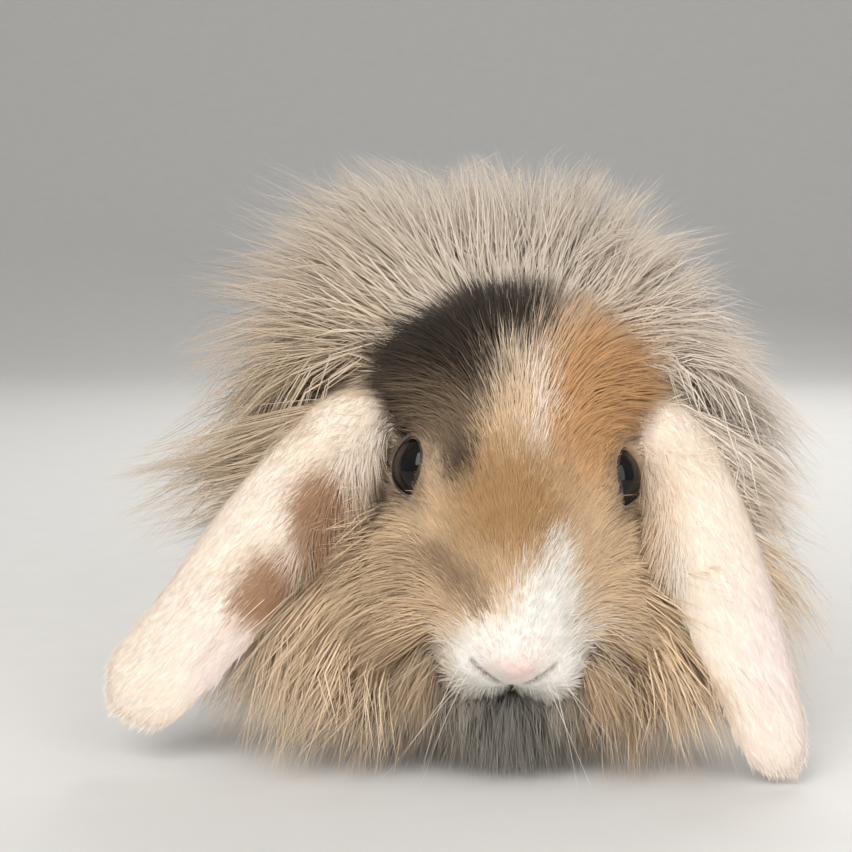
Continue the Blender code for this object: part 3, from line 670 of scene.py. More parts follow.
def eye_material(side):
    material, tree, surface = new_material("eye_" + side, Roughness=0.06, IOR=1.38)
    place = add(tree, "TexCoord").outputs["Object"]
    frame_of_eye = eye_frame(side)
    local = add(tree, "Mapping", {"Vector": place, "Location": frame_of_eye.translation,
                                  "Rotation": frame_of_eye.to_euler(), "Scale": (EYE_RADIUS,) * 3},
                vector_type="TEXTURE").outputs[0]
    flat = add(tree, "VectorMath", {0: local, 1: (1, 1, 0)}, operation="MULTIPLY").outputs[0]
    far = add(tree, "VectorMath", {0: flat}, operation="LENGTH").outputs["Value"]
    share = add(tree, "MapRange", {"Value": far, "From Min": PUPIL_SIZE, "From Max": IRIS_SIZE}).outputs[0]
    tint = add(tree, "Mix", {0: share, 6: PUPIL, 7: IRIS}, data_type="RGBA").outputs[2]
    tree.links.new(tint, surface.inputs["Base Color"])
    return material


def make_eye(side):
    data = bmesh.new()
    bmesh.ops.create_uvsphere(data, u_segments=48, v_segments=32, radius=EYE_RADIUS, matrix=eye_frame(side))
    eye = place_object("eyeball_" + side, data)
    eye.data.shade_smooth()
    eye.data.materials.append(eye_material(side))
    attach(eye, "root")
    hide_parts("eye_" + side)
    print(eye.name, "at", [round(v / MM, 1) for v in middle_of("eye_" + side)], "mm")


for side in SIDES:
    make_eye(side)

# %% [markdown]
# ## Lids
# The rim of each lid is a narrow, bare edge, dark round the eye and a pale lavender grey in the corner towards
# the nose. It starts as a circle of points laid on the almond of the opening. Its edges are extruded outwards
# four times, each new ring laid wider and lower, then joined back to the first, which makes a closed band
# with a rounded edge.

# %% Lid rims
# width of each ring as a share of the opening, its distance from the eye's middle as a share of its radius
LID_RINGS = ((0.96, 1.0), (0.99, 1.06), (1.12, 1.08), (1.3, 1.05), (1.28, 0.96))
LID_DARK, LID_BROWN, LID_GREY = paint(34, 25, 22), paint(66, 50, 44), paint(136, 122, 118)


def lid_ring_place(frame_of_eye, turn, width, height):
    along = OPENING_LENGTH * math.cos(turn) * width
    over = OPENING_HEIGHT * math.sin(turn) * width * (1 - OPENING_TAPER * max(math.cos(turn), 0))
    up = math.sqrt(max((EYE_RADIUS * height) ** 2 - along ** 2 - over ** 2, (0.2 * EYE_RADIUS) ** 2))
    return frame_of_eye @ Vector((over, along, up))


def make_lid(side, material):
    data, frame_of_eye = bmesh.new(), eye_frame(side)
    ring = bmesh.ops.create_circle(data, segments=44, radius=1.0)["verts"]
    turns = [math.atan2(vert.co.x, vert.co.y) for vert in ring]
    loops, edges_now = [], data.edges[:]
    for number, (width, height) in enumerate(LID_RINGS):
        if number:
            made = bmesh.ops.extrude_edge_only(data, edges=edges_now)["geom"]
            new = [item for item in made if isinstance(item, bmesh.types.BMVert)]
            edges_now = [item for item in made if isinstance(item, bmesh.types.BMEdge)
                         and all(vert in new for vert in item.verts)]
            partner = {vert: next(e.other_vert(vert) for e in vert.link_edges if e.other_vert(vert) in ring)
                       for vert in new}
            turns = [turns[ring.index(partner[vert])] for vert in new]
            ring = new
        for vert, turn in zip(ring, turns):
            vert.co = lid_ring_place(frame_of_eye, turn, width, height)
        loops.append(edges_now)
    bmesh.ops.bridge_loops(data, edges=loops[0] + loops[-1])
    bmesh.ops.recalc_face_normals(data, faces=data.faces)
    lid = place_object("lid_" + side, data)
    lid.modifiers.new("round", "SUBSURF").render_levels = 1
    lid.modifiers["round"].levels = 1
    lid.data.shade_smooth()
    lid.data.materials.append(material)
    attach(lid, "root")


def lid_material(side):
    material, tree, surface = new_material("lid_" + side, Roughness=0.6)
    place = add(tree, "TexCoord").outputs["Object"]
    mottle = add(tree, "TexNoise", {"Vector": place, "Scale": 700.0, "Detail": 2.0}).outputs["Fac"]
    dark = add(tree, "Mix", {0: mottle, 6: LID_DARK, 7: LID_BROWN}, data_type="RGBA").outputs[2]
    frame_of_eye = eye_frame(side)
    local = add(tree, "Mapping", {"Vector": place, "Location": frame_of_eye.translation,
                                  "Rotation": frame_of_eye.to_euler(), "Scale": (OPENING_LENGTH,) * 3},
                vector_type="TEXTURE").outputs[0]
    to_nose = add(tree, "SeparateXYZ", {"Vector": local}).outputs["Y"]
    corner = add(tree, "MapRange", {"Value": to_nose, "From Min": 0.3, "From Max": 0.9}).outputs[0]
    tint = add(tree, "Mix", {0: corner, 6: dark, 7: LID_GREY}, data_type="RGBA").outputs[2]
    tree.links.new(tint, surface.inputs["Base Color"])
    bump = add(tree, "Bump", {"Height": mottle, "Strength": 0.3, "Distance": 0.2 * MM}).outputs[0]
    tree.links.new(bump, surface.inputs["Normal"])
    return material


for side in SIDES:
    make_lid(side, lid_material(side))

# %% [markdown]
# ## How the coat grows
# Fur is not random: from the nose it runs back over the head, on the cheeks it fans out and down, on the back
# it runs to the tail and on the feet to the toes. Each point of the skin gets a lie, a length, a width and a
# lift for the hairs that grow there, first by part of the body, then by place on the head.

# %% Values of the coat at each point of the skin
# part: length in mm, width in mm, lift at the root and at the tip in degrees, lie as x outwards, y, z
COAT_VALUES = {
    "head": (5.0, 0.32, 28, 16, (0.0, 0.0, 0.0)),
    "ear": (4.2, 0.28, 20, 10, (0.0, 0.0, 0.0)),
    "torso": (15.0, 0.75, 26, 18, (0.05, 1.0, -0.3)),
    "haunch": (14.0, 0.75, 25, 18, (0.1, 0.8, -0.6)),
    "foreleg": (10.0, 0.7, 26, 16, (0.15, -0.5, -0.8)),
    "forepaw": (4.5, 0.45, 20, 12, (0.0, -1.0, -0.15)),
    "hind_foot": (5.0, 0.5, 20, 12, (0.0, -1.0, -0.1)),
    "tail": (20.0, 0.7, 58, 46, (0.0, 0.7, -0.7)),
    "mane": (24.0, 0.7, 60, 40, (0.0, 0.3, 0.0)),
}
EAR_WAY = {"left": (44, -33, -83), "right": (-79, -24, -73)}
CHEEK_WAY, FRINGE_WAY = (0.86, 0.25, -0.42), (-1.0, -0.2, -0.4)
HEAD_WAY = (0.35, -1.0, 0.1)
NOSE_TIP = (0.0, 56.0, -6.0)


def step_up(values, low, high):
    """A smooth step from 0 at low to 1 at high."""
    share = np.clip((values - low) / (high - low), 0, 1)
    return share * share * (3 - 2 * share)


def eye_distance():
    """Each point's distance in mm from the nearer eye's middle, and how far out in its opening it is."""
    far, share = np.full(len(places), 1e3), np.full(len(places), 9.0)
    for side in SIDES:
        frame_of_eye = np.array(eye_frame(side))
        local = (places - frame_of_eye[:3, 3]) @ frame_of_eye[:3, :3]
        near = (local[:, 2] > 0) & (np.linalg.norm(local, axis=1) < 2 * EYE_RADIUS)
        far = np.minimum(far, np.linalg.norm(local, axis=1) / MM)
        share = np.where(near, np.minimum(share, opening_share(local)), share)
    return far, share


def coat_fields():
    """Per point of the skin: length, width, lift at root, lift at tip, lie, and how much it is cheek."""
    local = in_head(places) / MM
    outward = np.sign(places[:, 0])[:, None]
    head = parts == "head"
    columns = [by_part(COAT_VALUES, parts, i) for i in range(4)]
    length, width, lift, lift_tip = columns
    lie = np.zeros((len(places), 3))
    for name, row in COAT_VALUES.items():
        lie[np.char.startswith(parts, name)] = row[4]
    lie[:, :1] *= outward
    for side, way in EAR_WAY.items():
        lie[parts == "ear_" + side] = Vector(way).normalized()
    cheek = head * step_up(-local[:, 2], -2, 9) * step_up(np.abs(local[:, 0]), 9, 19)
    cheek *= step_up(local[:, 1], 50, 38) * step_up(local[:, 1], -30, -12)
    crown = head * step_up(local[:, 1], 14, -30)
    beard = head * step_up(-local[:, 2], 12, 19) * step_up(local[:, 1], 53, 46)
    lip = head * step_up(-local[:, 2], 9, 14) * step_up(local[:, 1], 40, 48) * step_up(-np.abs(local[:, 0]), -19, -14)
    temple = head * step_up(np.abs(local[:, 0]), 10, 19) * step_up(local[:, 2], 3, 10)
    temple *= step_up(-local[:, 1], -4, 10)
    shoulder = (parts == "torso") * step_up(-places[:, 1] / MM, -25, 45)
    flank = ((parts == "torso") | np.char.startswith(parts, "haunch")) * step_up(-places[:, 2] / MM, -40, -12)
    ear = np.char.startswith(parts, "ear")
    fringe = ear * step_up(-outward[:, 0] * normals[:, 0], 0.1, 0.7) * step_up(places[:, 2] / MM, 40, 62)
    turn = np.array(HEAD.to_3x3())
    back = np.array([HEAD_WAY] * len(places))
    back[:, 0] *= np.clip(local[:, 0] / 14, -1, 1)
    back = back @ turn.T
    out = np.array([CHEEK_WAY] * len(places))
    out[:, :1] *= outward
    lie[head] = (back + cheek[:, None] * 2.2 * (out - back) / (1 + cheek[:, None]))[head]
    lie[head] += (1.6 * temple[:, None] * out)[head]
    inward = np.array([FRINGE_WAY] * len(places))
    inward[:, :1] *= outward
    lie[ear] += (fringe[:, None] * inward)[ear]
    mane = parts == "mane"
    radial = places - np.array([0, 0, MANE_HEIGHT * MM])
    radial[:, 1] = 0
    lie[mane] += (radial / np.linalg.norm(radial, axis=1)[:, None])[mane]
    lie[head] += (beard[:, None] * np.array([0, -1.5, -1.8]))[head]
    lie[head] += (lip[:, None] * np.array([0, -0.4, -1.6]))[head]
    cheek *= 1 - 0.8 * beard
    length += 13 * crown ** 1.5 + 29 * cheek ** 1.2 + 18 * beard + 9 * fringe + 7 * temple
    length += 14 * shoulder + 6 * flank
    width += 0.1 * crown + 0.14 * cheek + 0.1 * beard
    lift += 26 * crown + 26 * cheek + 25 * beard + 24 * fringe + 12 * shoulder
    lift_tip += 24 * crown + 30 * cheek + 30 * beard + 22 * fringe
    far, share = eye_distance()
    length *= np.where(head, 0.5 + 0.5 * step_up(far, 10, 20), 1)
    nose = np.linalg.norm(local - np.array(NOSE_TIP), axis=1)
    length *= np.where(head, 0.38 + 0.62 * step_up(nose, 6, 24), 1)
    length += 4.5 * lip
    fields = np.column_stack([length, width, lift, lift_tip, lie, cheek, beard])
    fields = blurred(fields, edges, 9)
    lie = fields[:, 4:7]
    lie -= (lie * normals).sum(1)[:, None] * normals
    fields[:, 4:7] = lie / np.linalg.norm(lie, axis=1)[:, None].clip(1e-6)
    return fields, share


fields, opening = coat_fields()
print("coat length from", round(fields[:, 0].min(), 1), "to", round(fields[:, 0].max(), 1), "mm")

# %% [markdown]
# ## Roots
# A coat needs its roots spread evenly. Triangles of the skin are laid end to end in a line, each as long as
# its area times the density wanted there, and the roots are dropped along that line at even steps, each
# with a little chance. All that a root must know is then mixed from its triangle's three corners.

# %% Sampling the skin


def skin_triangles():
    """Corner points, areas and map places of the skin's triangles."""
    mesh = skin.data
    mesh.calc_loop_triangles()
    count = len(mesh.loop_triangles)
    corners, loops = np.zeros(count * 3, int), np.zeros(count * 3, int)
    mesh.loop_triangles.foreach_get("vertices", corners)
    mesh.loop_triangles.foreach_get("loops", loops)
    flat = np.zeros(len(mesh.loops) * 2)
    mesh.uv_layers[MAP].data.foreach_get("uv", flat)
    corners = corners.reshape(-1, 3)
    one, two, three = (places[corners[:, i]] for i in range(3))
    areas = np.linalg.norm(np.cross(two - one, three - one), axis=1) / 2
    return corners, areas, flat.reshape(-1, 2)[loops.reshape(-1, 3)]


corners, areas, corner_maps = skin_triangles()


def sample_roots(weight, count, chance):
    """Roots spread by area and by a weight given at the skin's points, as a dict of arrays."""
    line = np.cumsum(areas * weight[corners].mean(axis=1))
    drops = (np.arange(count) + chance.random(count)) / count * line[-1]
    chosen = np.searchsorted(line, drops).clip(0, len(line) - 1)
    one = np.sqrt(chance.random(count))
    two = chance.random(count)
    mix = np.column_stack([1 - one, one * (1 - two), one * two])[:, :, None]
    ids = corners[chosen]
    found = (fields[ids] * mix).sum(1)
    normal = (normals[ids] * mix).sum(1)
    return {
        "place": (places[ids] * mix).sum(1), "map": (corner_maps[chosen] * mix).sum(1),
        "normal": normal / np.linalg.norm(normal, axis=1)[:, None],
        "length": found[:, 0] * MM, "width": found[:, 1] * MM,
        "lift": np.radians(found[:, 2]), "lift_tip": np.radians(found[:, 3]), "lie": found[:, 4:7],
        "cheek": found[:, 7],
    }


print("skin area", round(areas.sum() * 1e4, 1), "square cm")

# %% [markdown]
# ## From roots to hairs
# A tuft is a thin, three-sided blade that tapers to a point, and it is closed, so it can be printed or baked
# like any solid. Its middle line is a curve with one bend: it leaves the skin at one angle and ends at a
# flatter one. Real hairs also cling together, so each line is drawn towards that of the nearest "leader",
# not at the root but more and more towards the tip.

# %% Paths and clumps


def unit(vectors):
    return vectors / np.linalg.norm(vectors, axis=-1, keepdims=True).clip(1e-9)


def bend(root, control, tip, rings):
    """Points along curves that leave root towards control and end at tip, one row for each tuft."""
    t = np.linspace(0, 1, rings + 1)[None, :, None]
    return (1 - t) ** 2 * root[:, None] + 2 * t * (1 - t) * control[:, None] + t ** 2 * tip[:, None]


def lying_paths(roots, rings, chance, ruffle):
    """Tufts that lie along the coat, each turned a little by chance."""
    count = len(roots["place"])
    normal, lie = roots["normal"], unit(roots["lie"])
    across = np.cross(normal, lie)
    swing = chance.normal(0, ruffle, count)[:, None]
    lie = unit(lie + across * swing)
    length = (roots["length"] * chance.uniform(0.7, 1.12, count))[:, None]
    lift = (roots["lift"] * chance.uniform(0.6, 1.4, count))[:, None]
    tip_lift = (roots["lift_tip"] * chance.uniform(0.4, 1.6, count))[:, None]
    start = roots["place"] - normal * ROOT_SINK
    control = start + length * 0.45 * (lie * np.cos(lift) + normal * np.sin(lift))
    tip = start + length * (lie * np.cos(tip_lift) + normal * np.sin(tip_lift))
    tip[:, 2] -= (0.12 * length * np.sin(lift))[:, 0]
    return bend(start, control, tip, rings)


def clump(paths, roots, each, pull, chance, stray=0.6):
    """Draws each path towards its leader's, which strays in mm, and gives each clump a shared shade."""
    count = len(paths)
    leaders = chance.choice(count, max(1, count // each), replace=False)
    tree = KDTree(len(leaders))
    for number, leader in enumerate(leaders):
        tree.insert(roots["place"][leader], number)
    tree.balance()
    mine = np.array([tree.find(place)[1] for place in roots["place"]])
    t = np.linspace(0, 1, paths.shape[1])[None, :, None]
    share = pull * chance.uniform(0.4, 1.0, count)[:, None, None] * t ** 1.3
    side_bend = chance.normal(0, stray * MM, (2, len(leaders), 1, 3))
    lines = paths[leaders] + side_bend[0] * t ** 2 + 0.7 * side_bend[1] * np.sin(np.pi * t)
    led = paths + (lines[mine] - paths) * share
    return led, chance.random(len(leaders))[mine]


ROOT_SINK = 0.25 * MM
LOWEST_HAIR = 0.5 * MM
EYE_CLEAR = EYE_RADIUS + 0.25 * MM


def keep_clear(paths):
    """Holds every point above the floor and outside the eyeballs."""
    paths[:, :, 2] = np.maximum(paths[:, :, 2], LOWEST_HAIR)
    for side in SIDES:
        middle = np.array(middle_of("eye_" + side))
        away = paths - middle
        far = np.linalg.norm(away, axis=2, keepdims=True)
        paths = np.where(far < EYE_CLEAR, middle + away / far * EYE_CLEAR, paths)
    return paths


# %% [markdown]
# ## From paths to a mesh
# All tufts of one piece have the same count of rings, so the piece is one pattern of faces repeated, an array
# in the plain sense. Each point also keeps its tuft's root, how far along it is, and a tone, for the
# material to read. The root strays a little there, because hairs of two colours mix where markings meet. On
# the map a tuft is a patch 0.003 across at its root's place.

# %% Tuft meshes
MAP_PATCH, MARK_STRAY = 0.003, 1.7 * MM
BLADE_RISE = 0.32
COAT_SOFTNESS, COAT_SKYWARD = 0.75, 0.3


def soften(mesh, corners, up, facing):
    """Turns the shading of a tuft's corners towards the way its skin faces, or away from it on its underside."""
    own = np.zeros(len(mesh.vertices) * 3)
    mesh.vertices.foreach_get("normal", own)
    own = (1 - COAT_SOFTNESS) * own.reshape(-1, 3) + (0, 0, COAT_SKYWARD)
    mesh.normals_split_custom_set(unit(COAT_SOFTNESS * facing[:, None] * up[corners] + own[corners]))


def tuft_pattern(rings):
    """The faces of one tuft, as rings of three points and a tip, and 1 or -1 where they face out or under."""
    faces, facing = [(2, 1, 0)], [-1]
    for ring in range(rings):
        for i in range(3):
            one, two = 3 * ring + i, 3 * ring + (i + 1) % 3
            faces.append((one, two, two + 3, one + 3) if ring < rings - 1 else (one, two, 3 * rings))
            facing.append(1 if i else -1)
    return faces, facing


def tuft_points(paths, width, up):
    """Three points round each ring and one tip, for each path."""
    rings = paths.shape[1] - 1
    along = unit(np.gradient(paths, axis=1))[:, :rings]
    side = unit(np.cross(along, up[:, None]))
    top = np.cross(side, along)
    t = np.arange(rings) / rings
    root_share = 0.75 if rings > 1 else 1.0
    half = (width[:, None] * (1 - t ** 1.6) * np.where(t > 0, 1.0, root_share))[:, :, None] / 2
    middle = paths[:, :rings]
    ring = np.stack([middle + side * half, middle - side * half, middle + top * half * 2 * BLADE_RISE], axis=2)
    return np.concatenate([ring.reshape(len(paths), -1, 3), paths[:, rings:]], axis=1)


def tuft_mesh(name, paths, roots, width, tone, up):
    """One piece of the coat as a closed mesh, with its map and the attributes that its material reads."""
    count, rings = len(paths), paths.shape[1] - 1
    points = tuft_points(paths, width, up)
    each = points.shape[1]
    pattern, facing = tuft_pattern(rings)
    sizes = [len(face) for face in pattern]
    order = np.array([i for face in pattern for i in face])
    loops = (order[None] + each * np.arange(count)[:, None]).ravel()
    starts = np.concatenate([[0], np.cumsum(sizes * count)[:-1]])
    mesh = bpy.data.meshes.new(name)
    mesh.vertices.add(count * each)
    mesh.loops.add(len(loops))
    mesh.polygons.add(len(starts))
    mesh.vertices.foreach_set("co", points.ravel())
    mesh.loops.foreach_set("vertex_index", loops)
    mesh.polygons.foreach_set("loop_start", starts)
    mesh.update(calc_edges=True)
    along = np.append(np.repeat(np.arange(rings) / rings, 3), 1.0)
    across = np.append(np.tile([0.5, -0.5, 0.0], rings), 0.0)
    patch = np.column_stack([across, along - 0.5]) * MAP_PATCH
    flat = (roots["map"][:, None] + patch[None]).reshape(-1, 2)[loops]
    mesh.uv_layers.new(name=MAP).data.foreach_set("uv", flat.ravel())
    values = {"along": np.tile(along, count), "tone": np.repeat(tone, each)}
    for key, value in values.items():
        mesh.attributes.new(key, "FLOAT", "POINT").data.foreach_set("value", value)
    strayed = roots["place"] + np.random.default_rng(count).normal(0, MARK_STRAY, (count, 3))
    root = np.repeat(strayed, each, axis=0)
    mesh.attributes.new("root", "FLOAT_VECTOR", "POINT").data.foreach_set("vector", root.ravel())
    mesh.shade_smooth()
    soften(mesh, loops, np.repeat(up, each, axis=0), np.tile(np.repeat(facing, sizes), count))
    item = bpy.data.objects.new(name, mesh)
    bpy.context.scene.collection.objects.link(item)
    triangles = count * (6 * rings - 2)
    print(name, count, "tufts,", triangles, "triangles")
    return item


# %% [markdown]
# ## The coat's material
# Every kind of fur shares one recipe. The colour is that of the markings, or of the painted shade, at the tuft's
# root. A tone for each tuft makes some lighter and some darker, and the tip may fade towards another colour, as
# the ashy tips of a mane do.
# Sheen gives the soft light edge of fur.

# %% Coat material


def coat_material(name, tip, tip_share, contrast, root_dark):
    """Fur whose tips fade towards a colour by a share, with tones and dark roots of the given strength."""
    material, tree, surface = new_material(name, Roughness=0.62, Sheen_Weight=0.12, Sheen_Roughness=0.45)
    surface.inputs["Specular IOR Level"].default_value = 0.25
    root = add(tree, "Attribute", attribute_name="root").outputs["Vector"]
    along = add(tree, "Attribute", attribute_name="along").outputs["Fac"]
    tone = add(tree, "Attribute", attribute_name="tone").outputs["Fac"]
    group = tree.nodes.new("ShaderNodeGroup")
    group.node_tree = coat_and_shade_colours
    tree.links.new(root, group.inputs["Place"])
    share = add(tree, "MapRange", {"Value": along, "From Min": 0.25, "From Max": 1.0, "To Max": tip_share})
    faded = add(tree, "Mix", {0: share.outputs[0], 6: group.outputs["Colour"], 7: tip}, data_type="RGBA").outputs[2]
    light = add(tree, "MapRange", {"Value": tone, "To Min": 1 - contrast, "To Max": 1 + 0.6 * contrast}).outputs[0]
    base = add(tree, "MapRange", {"Value": along, "From Max": 0.6, "To Min": 1 - root_dark}).outputs[0]
    value = add(tree, "Math", {0: light, 1: base}, operation="MULTIPLY").outputs[0]
    shaded = add(tree, "HueSaturation", {"Color": faded, "Value": value}).outputs[0]
    tree.links.new(shaded, surface.inputs["Base Color"])
    return material


# kind of fur: colour and share of the tips, contrast between tufts, darkness of the roots
FINISHES = {
    "head_fur": coat_material("face_fur", paint(242, 218, 184), 0.03, 0.22, 0.05),
    "ear_fur": coat_material("ear_fur", paint(250, 236, 226), 0.12, 0.05, 0.03),
    "body_fur": coat_material("body_fur", paint(240, 226, 204), 0.15, 0.16, 0.08),
    "paw_fur": coat_material("paw_fur", paint(248, 242, 234), 0.2, 0.08, 0.04),
    "mane_wool": coat_material("mane_wool", paint(192, 179, 167), 0.4, 0.12, 0.0),
}

# %% [markdown]
# ## Short fur, part by part
# Each piece of the coat is a weight over the skin, a count of tufts and the rings in each. Face and ears get
# the most and the finest, because they are what one looks at.

# %% Short coats


def make_coat(name, slot, weight, count, rings, seed, ruffle=0.18, each=7, pull=0.5, clump_tone=0.5):
    """Grows one lying piece of the coat where the weight is above nothing."""
    chance = np.random.default_rng(seed)
    roots = sample_roots(weight, count, chance)
    paths = lying_paths(roots, rings, chance, ruffle)
    paths, shared = clump(paths, roots, each, pull, chance)
    tone = clump_tone * shared + (1 - clump_tone) * chance.random(count)
    width = roots["width"] * chance.uniform(0.75, 1.2, count)
    item = tuft_mesh(name, keep_clear(paths), roots, width, tone, roots["normal"])
    item.data.materials.append(FINISHES[slot])
    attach(item, "root")
    return item


def part_weight(*names):
    """1 where the skin belongs to one of these parts."""
    found = np.zeros(len(parts))
    for name in names:
        found[np.char.startswith(parts, name)] = 1.0
    return found


def grow_short_coats():
    local = in_head(places) / MM
    creases = np.zeros(len(places))
    skin.data.attributes["crease_shade"].data.foreach_get("value", creases)
    cheek, beard = fields[:, 7], fields[:, 8]
    bare = step_up(opening, 1.12, 1.42) * step_up(-creases, -0.45, -0.1)
    bare *= step_up(np.linalg.norm(local - np.array(NOSE_TIP), axis=1), 3.0, 6.5)
    head = part_weight("head") * bare
    long_hair = np.maximum(step_up(-local[:, 1], -12, 4), cheek)
    make_coat("face_fur", "head_fur", head * (1 - 0.8 * long_hair), 28000, 1, 11)
    make_coat("brow_fur", "head_fur", head * long_hair * (1 - 0.8 * cheek), 11000, 2, 12, each=9)
    make_coat("cheek_fur", "head_fur", head * cheek, 12000, 3, 13, ruffle=0.28, each=12, pull=0.7)
    make_coat("beard", "head_fur", head * beard, 2500, 3, 21, ruffle=0.3, each=10, pull=0.6)
    for number, side in enumerate(SIDES):
        ear = part_weight("ear_" + side)
        make_coat("ear_fur_" + side, "ear_fur", ear, 24000, 1, 14 + number, 0.2, each=4, pull=0.2, clump_tone=0.2)
    back = part_weight("torso") * (places[:, 2] > 12 * MM)
    make_coat("back_fur", "body_fur", back, 28000, 1, 16, each=16, pull=0.6)
    make_coat("haunch_fur", "body_fur", part_weight("haunch"), 13000, 1, 17, each=16, pull=0.6)
    make_coat("leg_fur", "body_fur", part_weight("foreleg"), 3000, 1, 18)
    make_coat("paw_fur", "paw_fur", part_weight("forepaw", "hind_foot"), 10000, 1, 19)
    make_coat("tail_fur", "body_fur", part_weight("tail"), 2500, 2, 20, ruffle=0.4)


grow_short_coats()

# %% [markdown]
# ## The mane
# A mane is long wool that stands away from the neck. Each lock has a tip to reach: as far out as the mane is
# at that angle, less at the back, where it falls over the shoulders. A first layer of broad locks fills the
# mane's body, then fine ones give the soft edge, and a few that are longer still stray out of it.

# %% Mane
MANE_SOLIDS = ("mane_crown", "mane_left", "mane_right", "ruff_left", "ruff_right", "bib")
MANE_LEAN, MANE_DROOP, MANE_SWEEP, MANE_STRAY = 56.0, 7.0, 7.0, 5.5
BIG_LOCK, BIG_PULL = 6, 0.45
# angle, width and extra share of reach of the longest wisps
WISP_ANGLE, WISP_WIDTH, WISP_EXTRA = -88.0, 26.0, 0.07
# angle, extra share of reach where the mane's shoulders flare
MANE_FLARE = (
    (-72, 0.0), (-56, 0.06), (-44, 0.11), (-34, 0.1), (-20, 0.03), (-8, 0.0), (40, 0.0), (52, 0.05),
    (64, 0.08), (78, 0.06), (92, 0.02), (106, 0.0),
)
# what rises past this height or reaches past this side is pressed back by a share
MANE_TOP, MANE_SIDE, MANE_PRESS = 157.0, 82.0, 0.6
# how far the ruff reaches forward on the floor
RUFF_FORWARD = 30.0
# how far the front of the mane falls over the roots of the ears, and the angle and width of that fall
EAR_FALL, EAR_FORWARD, EAR_ANGLE, EAR_WIDTH = 24.0, 14.0, 66.0, 22.0


def mane_paths(roots, rings, chance, reach_low, reach_high):
    """Locks from the bed out to a share of the mane's reach between two values."""
    count = len(roots["place"])
    root = roots["place"] / MM
    angle = mane_angle(root)
    front, back = mane_span(angle)
    depth = np.clip((root[:, 1] - front) / (back - front), 0, 1)
    low = (1 - np.cos(np.radians(angle))) / 2
    share = chance.uniform(reach_low, reach_high, count) * (1 - 0.34 * depth ** 2.5)
    wisp = np.exp(-((angle - WISP_ANGLE) / WISP_WIDTH) ** 2) * (share > 0.97)
    flare = np.interp(angle, *np.array(MANE_FLARE).T)
    reach = mane_reach(angle) * share * (1 + WISP_EXTRA * wisp + flare)
    y = root[:, 1] + MANE_LEAN * depth ** 1.5 * (1 - low) ** 1.5 + chance.normal(0, 3, count)
    y -= RUFF_FORWARD * low ** 2 * (1 - 0.6 * depth)
    fall = (1 - depth) ** 2 * np.exp(-((np.abs(angle) - EAR_ANGLE) / EAR_WIDTH) ** 2)
    y -= EAR_FORWARD * fall
    turned = np.radians(angle + MANE_SWEEP * np.sin(np.radians(angle)) + chance.normal(0, 5, count))
    tip = np.column_stack([reach * np.sin(turned), y, MANE_HEIGHT + reach * np.cos(turned)])
    tip[:, 2] -= MANE_DROOP * depth * np.sin(turned) ** 2 + EAR_FALL * fall
    tip[:, 2] = np.maximum(tip[:, 2], 2.5 + 4 * chance.random(count))
    radial = np.column_stack([np.sin(np.radians(angle)), np.zeros(count), np.cos(np.radians(angle))])
    span = np.linalg.norm(tip - root, axis=1)[:, None]
    way = unit(0.45 * roots["normal"] + 0.75 * radial)
    control = root + way * span * chance.uniform(0.42, 0.6, count)[:, None]
    return bend(root - roots["normal"], control, tip, rings) * MM


def make_mane(name, count, rings, seed, width, reach, each, pull, weight, tones):
    chance = np.random.default_rng(seed)
    roots = sample_roots(weight, count, chance)
    paths = mane_paths(roots, rings, chance, *reach)
    paths, broad = clump(paths, roots, each * BIG_LOCK, BIG_PULL, chance, 1.7 * MANE_STRAY)
    paths, shared = clump(paths, roots, each, pull, chance, MANE_STRAY)
    for axis, limit in ((2, MANE_TOP), (0, MANE_SIDE)):
        paths[:, :, axis] -= MANE_PRESS * np.maximum(paths[:, :, axis] - limit * MM, 0)
    tone = tones[0] + (tones[1] - tones[0]) * (0.4 * broad + 0.25 * shared + 0.35 * chance.random(count))
    widths = width * MM * chance.uniform(0.7, 1.3, count)
    up = unit(roots["normal"] + chance.normal(0, 0.5, (count, 3)))
    item = tuft_mesh(name, keep_clear(paths), roots, widths, tone, up)
    item.data.materials.append(FINISHES["mane_wool"])
    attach(item, "root")
    return item


def grow_mane():
    bed = part_weight("mane")
    angle = np.abs(mane_angle(places / MM))
    upper, lower = bed * (angle < 112), bed * (angle >= 112)
    # the bodies of mane and ruff take lighter tones: partly as under-wool is lighter, partly as painted light that
    # offsets the shade deep in the mane
    underwool_and_painted_light_tones, outer = (0.5, 1.0), (0.1, 0.75)
    body = make_mane("mane_body", 7500, 3, 31, 0.7, (0.6, 0.9), 14, 0.6, upper, underwool_and_painted_light_tones)
    make_mane("mane_fine", 12000, 3, 32, 0.36, (0.8, 1.02), 24, 0.85, upper, outer)
    make_mane("mane_top", 4500, 3, 36, 0.32, (0.7, 0.98), 16, 0.75, upper, outer)
    make_mane("mane_strays", 2600, 3, 33, 0.26, (0.95, 1.09), 16, 0.8, bed, outer)
    make_mane("ruff_body", 4000, 3, 34, 0.7, (0.75, 1.06), 12, 0.6, lower, underwool_and_painted_light_tones)
    make_mane("ruff_fine", 7500, 3, 35, 0.36, (0.9, 1.18), 18, 0.7, lower, outer)
    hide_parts(*MANE_SOLIDS)


grow_mane()

# %% [markdown]
# ## Whiskers
# Whiskers are the longest and stiffest hairs of the face. They leave the pads at the sides of the muzzle and
# curve out, down and back. Each is one tuft like the others, only longer, with its root on the nearest skin.

